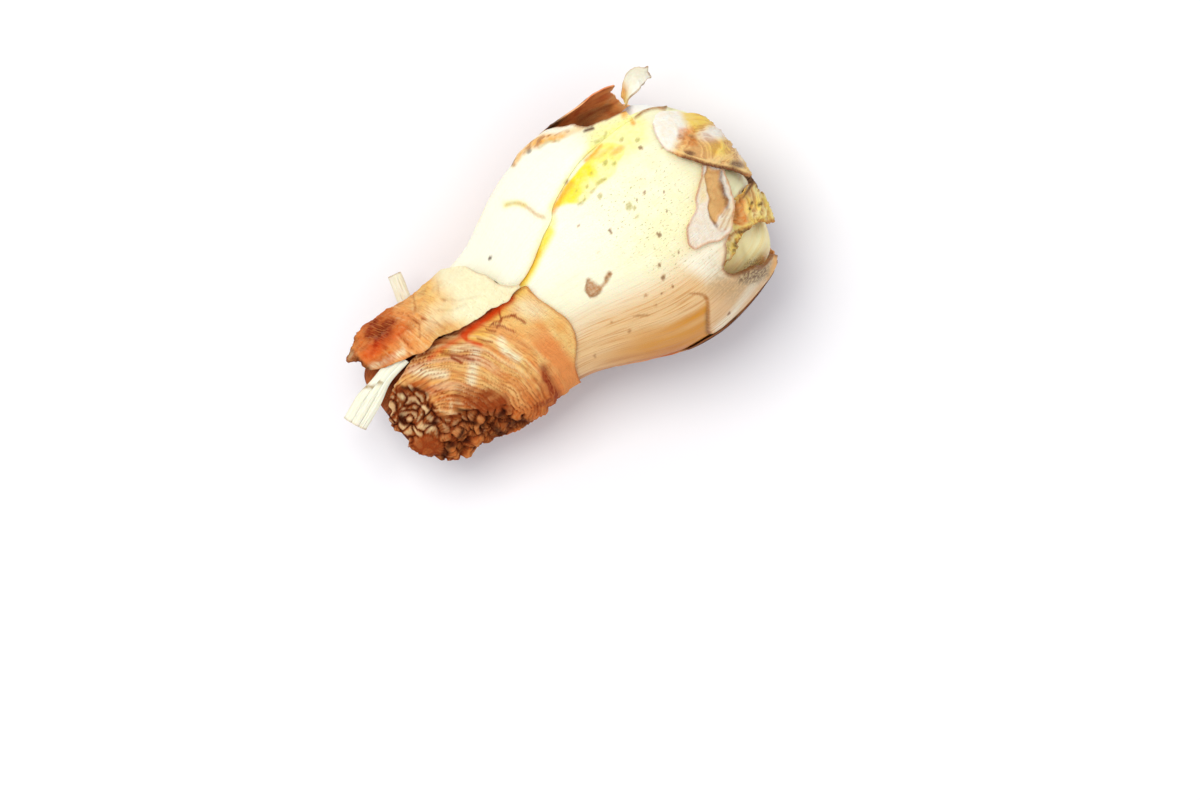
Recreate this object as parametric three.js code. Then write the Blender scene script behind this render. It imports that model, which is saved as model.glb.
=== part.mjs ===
// A squill bulb lying on its side: fleshy white scales round an inner bulb, a torn brown outer tunic
// under them, and a flattened neck of dry, papery tunics with two cut leaf bases.
//
// Millimetres, +Z up. +X points from the neck to the base of the bulb, and the bulb rests on z = 0.
// Every scale and tunic is placed on one skin surface by its station (millimetres along the skin,
// neck to base), its angle (degrees round the bulb, 0 on top, 90 towards +Y, 180 underneath) and its
// height off that skin.
import * as THREE from "three";

// Driving dimensions.
const BELLY_HALF_WIDTH = 29.4;
const BELLY_HALF_HEIGHT = 27.3;
const NECK_HALF_WIDTH = 17.9;
const NECK_HALF_HEIGHT = 10;
const SCALE_WALL = 2.2; // a fleshy scale
const MARGIN_WALL = 1; // a fleshy scale at its thin margin
const TUNIC_WALL = 0.6; // a dry tunic
const GAP = 0.35; // between neighbouring layers
const MARGIN_GAP = 0.5; // between a scale's margin and the scale that it lies on
const TUNIC_TOP = GAP + TUNIC_WALL; // the outer face of a tunic that lies on a scale
const FLESH_DEPTH = SCALE_WALL + GAP + 0.25; // from the skin down to the inner bulb
const DEGREE = Math.PI / 180;
const MM_PER_DEGREE = 0.5; // weighs an angle against a station when an edge is measured
const BASE_STATION = 61.5;

// The skin's elliptical sections: station, x, sideways lean, half width, half height, height of axis.
const PROFILE = [
  [-66, -66, 1, 17.4, 8.6, 15.8],
  [-54, -54, 1.2, 17.5, 9.2, 16.8],
  [-42, -42, 0.8, NECK_HALF_WIDTH, NECK_HALF_HEIGHT, 18],
  [-30, -30, -0.4, 18.9, 11.6, 19.7],
  [-20, -20, 0.6, 19.3, 14.6, 21.8],
  [-13, -13, 1.8, 21.4, 18.2, 23.4],
  [-6, -6, 2.2, 24.5, 21.8, 24.5],
  [0, 0, 1.7, 26.8, 24.4, 25.4],
  [8, 8, 0.7, 28.9, 26.7, 26.9],
  [16, 16, 0.1, BELLY_HALF_WIDTH, BELLY_HALF_HEIGHT, 27.8],
  [23, 23, 0.1, 28.7, 26.6, 28],
  [30, 29.6, -0.1, 26.9, 24.8, 27.9],
  [36, 34.6, -0.6, 24.3, 21.9, 27.6],
  [42, 38.4, -0.6, 19.7, 17.6, 27.2],
  [48, 40.4, -0.3, 13.8, 12.4, 26.8],
  [55, 41.2, 0, 6.7, 6.1, 26.6],
  [BASE_STATION, 41.4, 0, 0, 0, 26.5],
];

// A smooth rise from 0 to 1 as value goes from one limit to the other, up or down.
function rise(value, from, to) {
  const t = THREE.MathUtils.clamp((value - from) / (to - from), 0, 1);
  return t * t * (3 - 2 * t);
}

// One column of the profile at a station, by a cubic through its neighbours.
function profileAt(station, column) {
  const last = PROFILE.length - 1;
  let i = PROFILE.findIndex((row) => row[0] > station) - 1;
  if (i < 0) i = station < PROFILE[0][0] ? 0 : last - 1;
  const slope = (k) => {
    const before = PROFILE[Math.max(k - 1, 0)];
    const after = PROFILE[Math.min(k + 1, last)];
    return (after[column] - before[column]) / (after[0] - before[0]);
  };
  const span = PROFILE[i + 1][0] - PROFILE[i][0];
  const u = (station - PROFILE[i][0]) / span;
  return (
    (2 * u ** 3 - 3 * u ** 2 + 1) * PROFILE[i][column] +
    (u ** 3 - 2 * u ** 2 + u) * span * slope(i) +
    (3 * u ** 2 - 2 * u ** 3) * PROFILE[i + 1][column] +
    (u ** 3 - u ** 2) * span * slope(i + 1)
  );
}

// A point of the skin itself. shrink narrows the section about the axis.
function skin(station, angle, shrink = 1) {
  return new THREE.Vector3(
    profileAt(station, 1),
    profileAt(station, 2) + shrink * profileAt(station, 3) * Math.sin(angle * DEGREE),
    profileAt(station, 5) + shrink * profileAt(station, 4) * Math.cos(angle * DEGREE),
  );
}

// A point at a height off the skin, along the skin's normal. The belly is pressed flat where it
// rests, each layer parallel to the one outside it.
function offSkin(station, angle, height, shrink = 1) {
  const step = 0.2;
  const s = Math.min(station, BASE_STATION - step);
  const along = skin(s + step, angle, shrink).sub(skin(s - step, angle, shrink));
  const round = skin(s, angle + step, shrink).sub(skin(s, angle - step, shrink));
  const normal = along.cross(round).normalize();
  const point = skin(station, angle, shrink).addScaledVector(normal, height);
  point.z = Math.max(point.z, TUNIC_TOP - height);
  return point;
}

// A smooth edge through hand-placed [station, angle] points, as a function from 0 to 1.
function edge(points) {
  const flat = points.map(([s, angle]) => new THREE.Vector3(s, angle * MM_PER_DEGREE, 0));
  const curve = new THREE.CatmullRomCurve3(flat, false, "centripetal");
  return (t) => {
    const p = curve.getPointAt(t);
    return [p.x, p.y / MM_PER_DEGREE];
  };
}

// The piece of skin between four edges. low and high run from u = 0 to 1, and start and finish
// join them at u = 0 and at u = 1. Returns a function of (u, v) to [station, angle].
function patch({ low, high, start, finish }) {
  const [l, h, s, f] = [low, high, start, finish].map(edge);
  return (u, v) =>
    [0, 1].map((k) => {
      const across = (1 - v) * l(u)[k] + v * h(u)[k];
      const along = (1 - u) * s(v)[k] + u * f(v)[k];
      const corners =
        (1 - u) * (1 - v) * l(0)[k] + u * (1 - v) * l(1)[k] + (1 - u) * v * h(0)[k] + u * v * h(1)[k];
      return across + along - corners;
    });
}

// A closed sheet from place(u, v, side), where side is 0 on the inner face and 1 on the outer.
function sheet(place, rows, columns) {
  const points = [];
  const faces = [];
  const at = (side, i, j) => side * (rows + 1) * (columns + 1) + i * (columns + 1) + j;
  for (const side of [0, 1])
    for (let i = 0; i <= rows; i++)
      for (let j = 0; j <= columns; j++) points.push(place(i / rows, j / columns, side));
  const quad = (a, b, c, d) => faces.push(a, b, c, a, c, d);
  for (let i = 0; i < rows; i++)
    for (let j = 0; j < columns; j++) {
      quad(at(1, i, j), at(1, i + 1, j), at(1, i + 1, j + 1), at(1, i, j + 1));
      quad(at(0, i, j), at(0, i, j + 1), at(0, i + 1, j + 1), at(0, i + 1, j));
    }
  for (let i = 0; i < rows; i++) {
    quad(at(0, i, 0), at(0, i + 1, 0), at(1, i + 1, 0), at(1, i, 0));
    quad(at(0, i + 1, columns), at(0, i, columns), at(1, i, columns), at(1, i + 1, columns));
  }
  for (let j = 0; j < columns; j++) {
    quad(at(0, 0, j + 1), at(0, 0, j), at(1, 0, j), at(1, 0, j + 1));
    quad(at(0, rows, j), at(0, rows, j + 1), at(1, rows, j + 1), at(1, rows, j));
  }
  return facingOut(points, faces);
}

// A closed body from place(u, turn): u runs from one pole at 0 to the other at 1, turn from 0 to 1.
function body(place, rings, sides) {
  const points = [place(0, 0)];
  const faces = [];
  const at = (i, j) => 1 + (i - 1) * sides + (j % sides);
  for (let i = 1; i < rings; i++)
    for (let j = 0; j < sides; j++) points.push(place(i / rings, j / sides));
  points.push(place(1, 0));
  for (let j = 0; j < sides; j++) {
    faces.push(0, at(1, j + 1), at(1, j));
    faces.push(points.length - 1, at(rings - 1, j), at(rings - 1, j + 1));
    for (let i = 1; i < rings - 1; i++) {
      faces.push(at(i, j), at(i, j + 1), at(i + 1, j + 1));
      faces.push(at(i, j), at(i + 1, j + 1), at(i + 1, j));
    }
  }
  return facingOut(points, faces);
}

// A geometry of these triangles, turned round if they enclose a negative volume.
function facingOut(points, faces) {
  let volume = 0;
  for (let i = 0; i < faces.length; i += 3) {
    const [a, b, c] = [points[faces[i]], points[faces[i + 1]], points[faces[i + 2]]];
    volume += a.dot(new THREE.Vector3().crossVectors(b, c));
  }
  if (volume < 0)
    for (let i = 0; i < faces.length; i += 3) [faces[i], faces[i + 1]] = [faces[i + 1], faces[i]];
  const geometry = new THREE.BufferGeometry().setFromPoints(points);
  geometry.setIndex(faces);
  geometry.computeVertexNormals();
  return geometry;
}

// A sheet on the skin between four edges. inner(station, angle, u, v) is the height of its inner
// face, wall(station, angle, u, v) its thickness, and shrink(station) narrows the section.
function layer(edges, { inner, wall, rows, columns, shrink = () => 1 }) {
  const onSkin = patch(edges);
  return sheet(
    (u, v, side) => {
      const [station, angle] = onSkin(u, v);
      const height = inner(station, angle, u, v) + side * wall(station, angle, u, v);
      return offSkin(station, angle, height, shrink(station));
    },
    rows,
    columns,
  );
}

// A thin strip along a smooth line. half(u) is half its width and across its sideways direction;
// the strip is arched by arch times its width.
function strip({ line, half, across, arch, wall, rows, columns }) {
  const curve = new THREE.CatmullRomCurve3(line.map((p) => new THREE.Vector3(...p)));
  const sideways = new THREE.Vector3(...across).normalize();
  return sheet(
    (u, v, side) => {
      const normal = new THREE.Vector3().crossVectors(curve.getTangentAt(u), sideways).normalize();
      if (normal.z < 0) normal.negate();
      const w = 2 * v - 1;
      return curve
        .getPointAt(u)
        .addScaledVector(sideways, w * half(u))
        .addScaledVector(normal, (side - 0.5) * wall - arch * half(u) * w * w);
    },
    rows,
    columns,
  );
}

const fixed = (value) => () => value;

// How far round the bulb an angle is from a middle angle, 0 to 180.
function turnFrom(angle, middle) {
  return Math.abs(THREE.MathUtils.euclideanModulo(angle - middle + 180, 360) - 180);
}

// How deep the inner bulb lies under the skin. Underneath, where the two outer scales end, it comes
// up to the skin. At the near edge of the base it swells, and on the far shoulder it is rotted away.
function innerDepth(station, angle) {
  const underneath = rise(turnFrom(angle, 188), 44, 32) * rise(station, 50, 43);
  const swelling = rise(station, 34, 41) * rise(turnFrom(angle, -86), 36, 24) * rise(station, 52, 46);
  const rot = 4.2 * rise(station, 12, 18) * rise(station, 33, 26) * rise(turnFrom(angle, 86), 34, 16);
  return FLESH_DEPTH - (FLESH_DEPTH - 0.15) * underneath - 1.4 * swelling + rot;
}

// The packed inner scales of the bulb, closed where they narrow into the neck.
function innerBulb() {
  const neckEnd = -21;
  const neckStart = -16;
  return body(
    (u, turn) => {
      const station = neckEnd + (BASE_STATION - neckEnd) * (1 - Math.cos(Math.PI * u)) * 0.5;
      const into = Math.max(0, (neckStart - station) / (neckStart - neckEnd));
      const narrowing = Math.sqrt(Math.max(0, 1 - into ** 2));
      return offSkin(station, turn * 360, -innerDepth(station, turn * 360), narrowing);
    },
    22,
    40,
  );
}

// The corky plate that the scales grow from, with the lumps of old root scars on its face.
function basalPlate() {
  const rim = 51.8;
  const under = -FLESH_DEPTH + GAP;
  return body(
    (u, turn) => {
      const inside = u < 0.4;
      const out = inside ? u / 0.4 : (1 - u) / 0.6;
      const station = BASE_STATION - (BASE_STATION - rim) * out;
      const lump = 0.35 * Math.sin(turn * 44) * Math.sin(5 * out) * (1 - out);
      return offSkin(station, turn * 360, inside ? under : 1 + lump);
    },
    10,
    24,
  );
}

// The broad outer scale over the near side. Its end at the base is broken back in a deep notch.
function frontScale() {
  return layer(
    {
      low: [[-16, -120], [10, -124], [36, -120]],
      high: [
        [-16, 17], [-12, 19], [-4, 27.5], [2, 36.5], [10, 45.5], [16, 49], [24, 51.5], [29, 52],
        [33, 53.5], [38, 54.5],
      ],
      start: [[-16, -120], [-16.5, -60], [-16, -20], [-16, 17]],
      finish: [
        [36, -120], [33, -97], [31.6, -78], [30, -62.5], [28.2, -52], [25.1, -44], [27.2, -36],
        [30.4, -29], [35.2, -26.5], [38, -19.5], [42, -18.5], [47.5, -26], [50.8, -14], [51, 10],
        [50, 35], [46, 50], [38, 54.5],
      ],
    },
    {
      inner: (s, a, u, v) => -MARGIN_WALL - (SCALE_WALL - MARGIN_WALL) * rise(v, 1, 0.88),
      wall: (s, a, u, v) => MARGIN_WALL + (SCALE_WALL - MARGIN_WALL) * rise(v, 1, 0.88),
      rows: 16,
      columns: 25,
    },
  );
}

// The seam: where the far scale's margin lies over the near one.
const SEAM = [
  [-16, 11.5], [-12, 12], [-7.7, 15.4], [-3.7, 20.6], [0.2, 24.9], [2.2, 29.9], [6.1, 34.3],
  [10, 38.5], [13, 41.2], [20, 44.2], [29, 48],
];

// The outer scale over the far side. Its thin margin rides over the front scale along the seam, and
// it is bitten back where the shoulder of the bulb has rotted.
function sideScale() {
  const overlap = 9;
  const settled = 22;
  const onSeam = edge(SEAM);
  const faces = (angle, u) => {
    const settling = rise(angle - onSeam(u)[1], overlap, settled);
    return {
      outer: (MARGIN_GAP + MARGIN_WALL) * (1 - settling),
      wall: MARGIN_WALL + (SCALE_WALL - MARGIN_WALL) * settling,
    };
  };
  return layer(
    {
      low: SEAM,
      high: [
        [-24, 128], [-8, 130], [8, 128], [11.5, 112], [12.5, 90], [13, 72], [16, 66], [17.5, 62],
        [19, 58], [24, 56.5], [28.6, 56.2],
      ],
      start: [[-16, 11.5], [-17.5, 24], [-20, 42], [-23, 61], [-26, 80], [-24, 128]],
      finish: [[29, 48], [28.6, 52], [28.6, 56.2]],
    },
    {
      inner: (s, a, u) => faces(a, u).outer - faces(a, u).wall,
      wall: (s, a, u) => faces(a, u).wall,
      rows: 18,
      columns: 16,
    },
  );
}

// The brown outer tunic that still wraps the underside. Its margin stands off the far shoulder.
function backTunic() {
  const standOff = (s) => 0.8 * rise(s, 0, 5) * rise(s, 12, 7) + 1.7 * rise(s, 18, 28);
  return layer(
    {
      low: [[-1, 78], [2, 75], [6, 72], [11, 70], [13.5, 75], [16, 84], [20, 88], [26, 88], [30, 90]],
      high: [[-12, 256], [0, 268], [8, 275], [15, 277], [25, 277], [31, 277], [38, 272]],
      start: [[-1, 78], [-1.5, 92], [-6, 115], [-12, 150], [-9, 190], [-13, 225], [-12, 256]],
      finish: [[30, 90], [30.5, 102], [33, 118], [40, 140], [47, 165], [48, 195], [45, 232], [38, 272]],
    },
    {
      inner: (s, a) => GAP + standOff(s) * rise(a, 106, 84),
      wall: fixed(TUNIC_WALL),
      rows: 14,
      columns: 28,
    },
  );
}

// Old leaf bases, dried together inside the neck. They fill it up to its torn end.
function neckCore() {
  const [from, to] = [-22, -55.5];
  const [sideRoom, topRoom] = [4, 3.1]; // from the skin to the core
  const middle = (from + to) / 2;
  return body(
    (u, turn) => {
      const swell = Math.sin(Math.PI * u) ** 0.3;
      const ripple = 1 + 0.05 * Math.sin(turn * 8 * 2 * Math.PI);
      const station = middle - (Math.cos(Math.PI * u) * (to - from)) / 2;
      const angle = turn * 2 * Math.PI;
      return new THREE.Vector3(
        station,
        profileAt(station, 2) + (profileAt(station, 3) - sideRoom) * swell * ripple * Math.sin(angle),
        profileAt(station, 5) + (profileAt(station, 4) - topRoom) * swell * ripple * Math.cos(angle),
      );
    },
    12,
    24,
  );
}

// The near tunic of the neck: it starts over the scales in a curved collar, wraps the near side
// and the underside, and ends in a shrivelled, torn edge.
function neckTunicFront() {
  const gather = 0.1;
  return layer(
    {
      low: [[-24, 14], [-31, 17], [-38, 18.5], [-45, 18], [-48.9, 16]],
      high: [[-20, -245], [-34, -250], [-46, -245]],
      start: [
        [-24, 14], [-20, 12.5], [-16, 10.5], [-13, 8.4], [-12.9, 3], [-12.1, -4.8], [-10.9, -12.6],
        [-9.9, -23], [-10.3, -31], [-11.5, -39.5], [-14.6, -54.4], [-12.6, -68.5], [-13, -90],
        [-15, -120], [-17, -160], [-16, -200], [-20, -245],
      ],
      finish: [
        [-48.9, 16], [-48.5, 12], [-51.9, 10], [-54, 2], [-56.4, -8.6], [-56.9, -18], [-55, -26],
        [-55.9, -32], [-54, -52], [-51.5, -72], [-50, -90], [-51, -130], [-49, -180], [-50, -220],
        [-46, -245],
      ],
    },
    {
      inner: fixed(GAP),
      wall: fixed(TUNIC_WALL),
      rows: 13,
      columns: 34,
      shrink: (s) => 1 - gather * rise(s, -42, -58),
    },
  );
}

// The far tunic of the neck, a loose flap whose margin stands over the near tunic.
function neckTunicSide() {
  const overMargin = MARGIN_GAP + MARGIN_WALL; // clears the margin of the far scale
  return layer(
    {
      low: [
        [-12.5, 10.5], [-17, 11], [-22, 15.5], [-26.5, 18.5], [-30.3, 22], [-37, 23.3], [-44.4, 25.2],
        [-51.5, 27],
      ],
      high: [[-27, 96], [-37, 95], [-48, 96]],
      start: [
        [-12.5, 10.5], [-15, 17.3], [-17, 28], [-18.5, 39.4], [-21.3, 59], [-24.6, 72], [-27, 96],
      ],
      finish: [
        [-51.5, 27], [-52.2, 34.6], [-52.6, 44], [-54.7, 51], [-54.2, 57], [-52.3, 63], [-50.8, 70.5],
        [-48, 96],
      ],
    },
    {
      inner: (s, a, u, v) => GAP + overMargin * rise(v, 0.5, 0.3) + 2 * rise(v, 0.4, 0) * rise(s, -17, -30),
      wall: fixed(TUNIC_WALL),
      rows: 13,
      columns: 13,
    },
  );
}

// A cut, straw-like leaf base that fans out of the neck between its two tunics.
function leafStubLong() {
  return strip({
    line: [[-45, 9, 27.4], [-50, 8.1, 27.3], [-56, 6.1, 26.2], [-62.4, 3.6, 24.2]],
    half: (u) => 1.3 + 1.6 * rise(u, 0.2, 0.8),
    across: [-0.45, 1, 0.1],
    arch: 0.2,
    wall: 0.9,
    rows: 8,
    columns: 4,
  });
}

// A narrow leaf base that sticks out through the slit on the far side of the neck.
function leafStubShort() {
  return strip({
    line: [[-37.4, 15.8, 16], [-36.8, 19.5, 16], [-35.2, 25.4, 17]],
    half: (u) => 1.3 - 0.25 * u,
    across: [1, -0.2, 0],
    arch: 0.1,
    wall: 0.8,
    rows: 6,
    columns: 3,
  });
}

// A tongue of the front scale's outer skin that has dried and come loose near the base.
function peelingPatch() {
  return layer(
    {
      low: [[22.5, -20.5], [24.5, -23.2], [27.9, -27], [31, -27.2], [34, -24.5], [36.4, -18]],
      high: [[22, -17], [23.8, -13.6], [27.9, -9.1], [30, -1.9], [34.5, 4.9], [38, 6]],
      start: [[22.5, -20.5], [21.7, -18.8], [22, -17]],
      finish: [[36.4, -18], [38.3, -9], [38, 6]],
    },
    { inner: (s, a, u) => GAP + 0.3 * u, wall: fixed(0.5), rows: 10, columns: 7 },
  );
}

// A dry tunic that has curled up off the base and stands over the end of the front scale.
function baseCurl() {
  return layer(
    {
      low: [
        [31.9, 41], [31.6, 32], [32.1, 22], [34.1, 14.2], [38.5, 5.3], [42.6, -4.1], [45.5, -13],
        [49, -19],
      ],
      high: [[38, 45], [43, 44], [49, 38], [52, 15], [52.5, -8], [51, -22]],
      start: [[31.9, 41], [34, 44.5], [38, 45]],
      finish: [[49, -19], [50, -21], [51, -22]],
    },
    {
      inner: (s, a, u, v) => 1.2 + 1.3 * rise(s, 38, 47) + 0.9 * rise(v, 0.35, 0),
      wall: fixed(TUNIC_WALL),
      rows: 12,
      columns: 7,
    },
  );
}

// A thin scrap of tunic that stands out past the far shoulder.
function paperyTip() {
  return strip({
    line: [[29.4, 27.2, 36.6], [33, 27.6, 36.4], [36.4, 28, 35], [38.2, 27.6, 33.2]],
    half: (u) => 2.4 - 0.9 * u,
    across: [0.2, 1, -0.6],
    arch: -0.3,
    wall: 0.45,
    rows: 8,
    columns: 5,
  });
}

// The ragged stump of a broken scale, seen in the notch of the front scale.
function tornScale() {
  return layer(
    {
      low: [[26.6, -42.5], [31, -45], [36, -46], [40, -52], [44, -64], [47, -72]],
      high: [[28.4, -37.5], [31, -33.5], [35.5, -32.5], [39, -27.5], [43, -27.5], [47.5, -33]],
      start: [[26.6, -42.5], [27, -40], [28.4, -37.5]],
      finish: [[47, -72], [48.5, -52], [47.5, -33]],
    },
    { inner: (s) => -SCALE_WALL + 2.7 * rise(s, 34, 44), wall: fixed(0.7), rows: 11, columns: 7 },
  );
}

// The finishes, dry and matt but for the fleshy scales.
const FINISH = {
  flesh: { color: 0xf4ecc6, roughness: 0.45 },
  inner_flesh: { color: 0xe6d98a, roughness: 0.5 },
  brown_tunic: { color: 0x8a4a25, roughness: 0.7 },
  tan_tunic: { color: 0xd9955a, roughness: 0.75 },
  dried_core: { color: 0x70391c, roughness: 0.8 },
  straw: { color: 0xf1e8c4, roughness: 0.7 },
  cork: { color: 0x5c4234, roughness: 0.9 },
};

const PIECES = {
  inner_bulb: [innerBulb, "inner_flesh"],
  basal_plate: [basalPlate, "cork"],
  front_scale: [frontScale, "flesh"],
  side_scale: [sideScale, "flesh"],
  torn_scale: [tornScale, "inner_flesh"],
  peeling_patch: [peelingPatch, "flesh"],
  back_tunic: [backTunic, "brown_tunic"],
  base_curl: [baseCurl, "tan_tunic"],
  papery_tip: [paperyTip, "straw"],
  neck_core: [neckCore, "dried_core"],
  neck_tunic_front: [neckTunicFront, "tan_tunic"],
  neck_tunic_side: [neckTunicSide, "tan_tunic"],
  leaf_stub_long: [leafStubLong, "straw"],
  leaf_stub_short: [leafStubShort, "straw"],
};

const bulb = new THREE.Group();
for (const [name, [make, finish]] of Object.entries(PIECES)) {
  const mesh = new THREE.Mesh(make(), new THREE.MeshStandardMaterial({ ...FINISH[finish], metalness: 0 }));
  mesh.name = name;
  bulb.add(mesh);
}

// The origin is on the surface the bulb lies on, under the middle of its length and width.
const box = new THREE.Box3().setFromObject(bulb, true);
bulb.position.set(-(box.min.x + box.max.x) / 2, -(box.min.y + box.max.y) / 2, -box.min.z);

export default bulb;
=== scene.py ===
import math

import bpy
import numpy as np
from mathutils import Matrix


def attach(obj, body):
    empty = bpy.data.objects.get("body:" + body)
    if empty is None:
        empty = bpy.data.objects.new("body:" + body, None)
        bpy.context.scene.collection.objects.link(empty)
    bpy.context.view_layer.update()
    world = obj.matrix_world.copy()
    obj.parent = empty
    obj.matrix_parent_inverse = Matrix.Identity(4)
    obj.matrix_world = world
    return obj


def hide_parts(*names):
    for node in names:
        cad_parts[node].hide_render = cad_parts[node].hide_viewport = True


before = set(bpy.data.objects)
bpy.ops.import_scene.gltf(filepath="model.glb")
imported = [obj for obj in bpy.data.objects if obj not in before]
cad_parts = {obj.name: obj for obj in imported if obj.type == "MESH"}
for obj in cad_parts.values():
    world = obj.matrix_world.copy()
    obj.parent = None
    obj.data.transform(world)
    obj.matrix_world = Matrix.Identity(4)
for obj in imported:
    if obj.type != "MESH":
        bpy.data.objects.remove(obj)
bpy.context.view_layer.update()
bpy.context.scene.view_settings.view_transform = "Standard"

# --- Inner bulb -------------------------------------------------------------------------------
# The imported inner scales, moist and greenish yellow. They grow from the basal plate and are closed
# where they narrow into the neck. They show in the broken notch at the base, on the far shoulder,
# and under the two outer scales where those end.

MM = 0.001  # the bulb is laid out in millimetres, the scene is in metres
DEGREE = math.pi / 180
FLESH_DEPTH = 2.8  # from the skin down to the inner bulb
TUNIC_TOP = 0.95  # the outer face of a dry tunic that lies on a scale, off the skin
BASE_STATION = 61.5  # millimetres along the skin, from the middle of the bulb to its base
EYE = (-15.14, -25.44)  # the bulb is looked at from straight above this place
EYE_HEIGHT = 1500  # above the bulb's middle height
MIDDLE = 27  # the bulb's middle height, above the table

# The skin's elliptical sections: station, x, sideways lean, half width, half height, height of axis.
PROFILE = np.array([
    [-66, -66, 1, 17.4, 8.6, 15.8],
    [-54, -54, 1.2, 17.5, 9.2, 16.8],
    [-42, -42, 0.8, 17.9, 10, 18],
    [-30, -30, -0.4, 18.9, 11.6, 19.7],
    [-20, -20, 0.6, 19.3, 14.6, 21.8],
    [-13, -13, 1.8, 21.4, 18.2, 23.4],
    [-6, -6, 2.2, 24.5, 21.8, 24.5],
    [0, 0, 1.7, 26.8, 24.4, 25.4],
    [8, 8, 0.7, 28.9, 26.7, 26.9],
    [16, 16, 0.1, 29.4, 27.3, 27.8],
    [23, 23, 0.1, 28.7, 26.6, 28],
    [30, 29.6, -0.1, 26.9, 24.8, 27.9],
    [36, 34.6, -0.6, 24.3, 21.9, 27.6],
    [42, 38.4, -0.6, 19.7, 17.6, 27.2],
    [48, 40.4, -0.3, 13.8, 12.4, 26.8],
    [55, 41.2, 0, 6.7, 6.1, 26.6],
    [BASE_STATION, 41.4, 0, 0, 0, 26.5],
])


def limited(value):
    """The value, held between 0 and 1."""
    return np.clip(value, 0, 1)


def rise(value, start, end):
    """A smooth rise from 0 to 1 as value goes from start to end, up or down."""
    t = limited((value - start) / (end - start))
    return t * t * (3 - 2 * t)


def profile_at(station, column):
    """One column of the profile at each station, by a cubic through its neighbours."""
    last = len(PROFILE) - 1
    i = np.clip(np.searchsorted(PROFILE[:, 0], station, side="right") - 1, 0, last - 1)

    def slope(k):
        before, after = PROFILE[np.maximum(k - 1, 0)], PROFILE[np.minimum(k + 1, last)]
        return (after[..., column] - before[..., column]) / (after[..., 0] - before[..., 0])

    span = PROFILE[i + 1, 0] - PROFILE[i, 0]
    u = (station - PROFILE[i, 0]) / span
    return (
        (2 * u**3 - 3 * u**2 + 1) * PROFILE[i, column]
        + (u**3 - 2 * u**2 + u) * span * slope(i)
        + (3 * u**2 - 2 * u**3) * PROFILE[i + 1, column]
        + (u**3 - u**2) * span * slope(i + 1)
    )


def skin(station, angle, shrink=1.0):
    """Points of the bulb's skin. The angle is in degrees round the bulb: 0 on top, 90 on the far side."""
    return np.stack([
        profile_at(station, 1),
        profile_at(station, 2) + shrink * profile_at(station, 3) * np.sin(angle * DEGREE),
        profile_at(station, 5) + shrink * profile_at(station, 4) * np.cos(angle * DEGREE),
    ], axis=-1)


def off_skin(station, angle, height, shrink=1.0):
    """Points at a height off the skin. The belly is pressed flat where it rests."""
    step = 0.2
    s = np.minimum(station, BASE_STATION - step)
    along = skin(s + step, angle, shrink) - skin(s - step, angle, shrink)
    across = skin(s, angle + step, shrink) - skin(s, angle - step, shrink)
    normal = np.cross(along, across)
    normal /= np.maximum(np.linalg.norm(normal, axis=-1, keepdims=True), 1e-9)
    points = skin(station, angle, shrink) + normal * np.asarray(height)[..., None]
    points[..., 2] = np.maximum(points[..., 2], TUNIC_TOP - height)
    return points


def turn_from(angle, middle):
    """How far round the bulb an angle is from a middle angle, 0 to 180."""
    return np.abs((angle - middle + 180) % 360 - 180)


def noise(places, size, seed=0):
    """Smooth random values from -1 to 1 at these places, in lumps of about this size."""
    grid = np.asarray(places, float) / size + 31.7 * (seed + 1)
    cell = np.floor(grid).astype(np.int64)
    part = grid - cell
    part = part * part * (3 - 2 * part)
    total = 0
    for corner in np.ndindex(*(2,) * grid.shape[-1]):
        key = np.zeros(grid.shape[:-1], np.int64)
        weight = 1
        for k, prime in zip(range(len(corner)), (73856093, 19349663, 83492791)):
            key = key ^ ((cell[..., k] + corner[k]) * prime)
            weight = weight * (part[..., k] if corner[k] else 1 - part[..., k])
        key = (key ^ (key >> 11)) * 668265263 & 0x7FFFFFFF
        key = (key ^ (key >> 15)) * 374761393 & 0x7FFFFFFF
        total = total + weight * ((key >> 8 & 0xFFFF) / 32767.5 - 1)
    return total


# The drawing's own origin in the frame: the neck core starts on the axis of the section at -22.
CORE_START = -22.0
core_pole = max(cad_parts["neck_core"].data.vertices, key=lambda vertex: vertex.co.x).co
SHIFT = np.array(core_pole) / MM - [CORE_START, profile_at(CORE_START, 2), profile_at(CORE_START, 5)]


def points_of(piece):
    """The piece's points, as an array."""
    points = np.empty(len(piece.data.vertices) * 3)
    piece.data.vertices.foreach_get("co", points)
    return points.reshape(-1, 3)


def move_points(piece, points):
    """Puts the piece's points at these places of the drawing."""
    piece.data.vertices.foreach_set("co", ((points + SHIFT) * MM).ravel())
    piece.data.update()


def write_masks(piece, masks):
    """Keeps each array of numbers or of places on the piece's points, for its finish."""
    for name, values in masks.items():
        kind, key = ("FLOAT", "value") if np.ndim(values) == 1 else ("FLOAT_VECTOR", "vector")
        layer = piece.data.attributes.new(name, kind, "POINT")
        layer.data.foreach_set(key, np.ascontiguousarray(values, np.float32).ravel())


def edit(piece, step, chosen=None):
    """Runs an edit-mode step on the whole of a piece, or on its chosen points."""
    bpy.ops.object.select_all(action="DESELECT")
    piece.select_set(True)
    bpy.context.view_layer.objects.active = piece
    bpy.ops.object.mode_set(mode="EDIT")
    bpy.ops.mesh.select_all(action="SELECT" if chosen is None else "DESELECT")
    if chosen is not None:
        bpy.ops.object.mode_set(mode="OBJECT")
        piece.data.vertices.foreach_set("select", chosen)
        bpy.ops.object.mode_set(mode="EDIT")
    step()
    bpy.ops.object.mode_set(mode="OBJECT")


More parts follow.
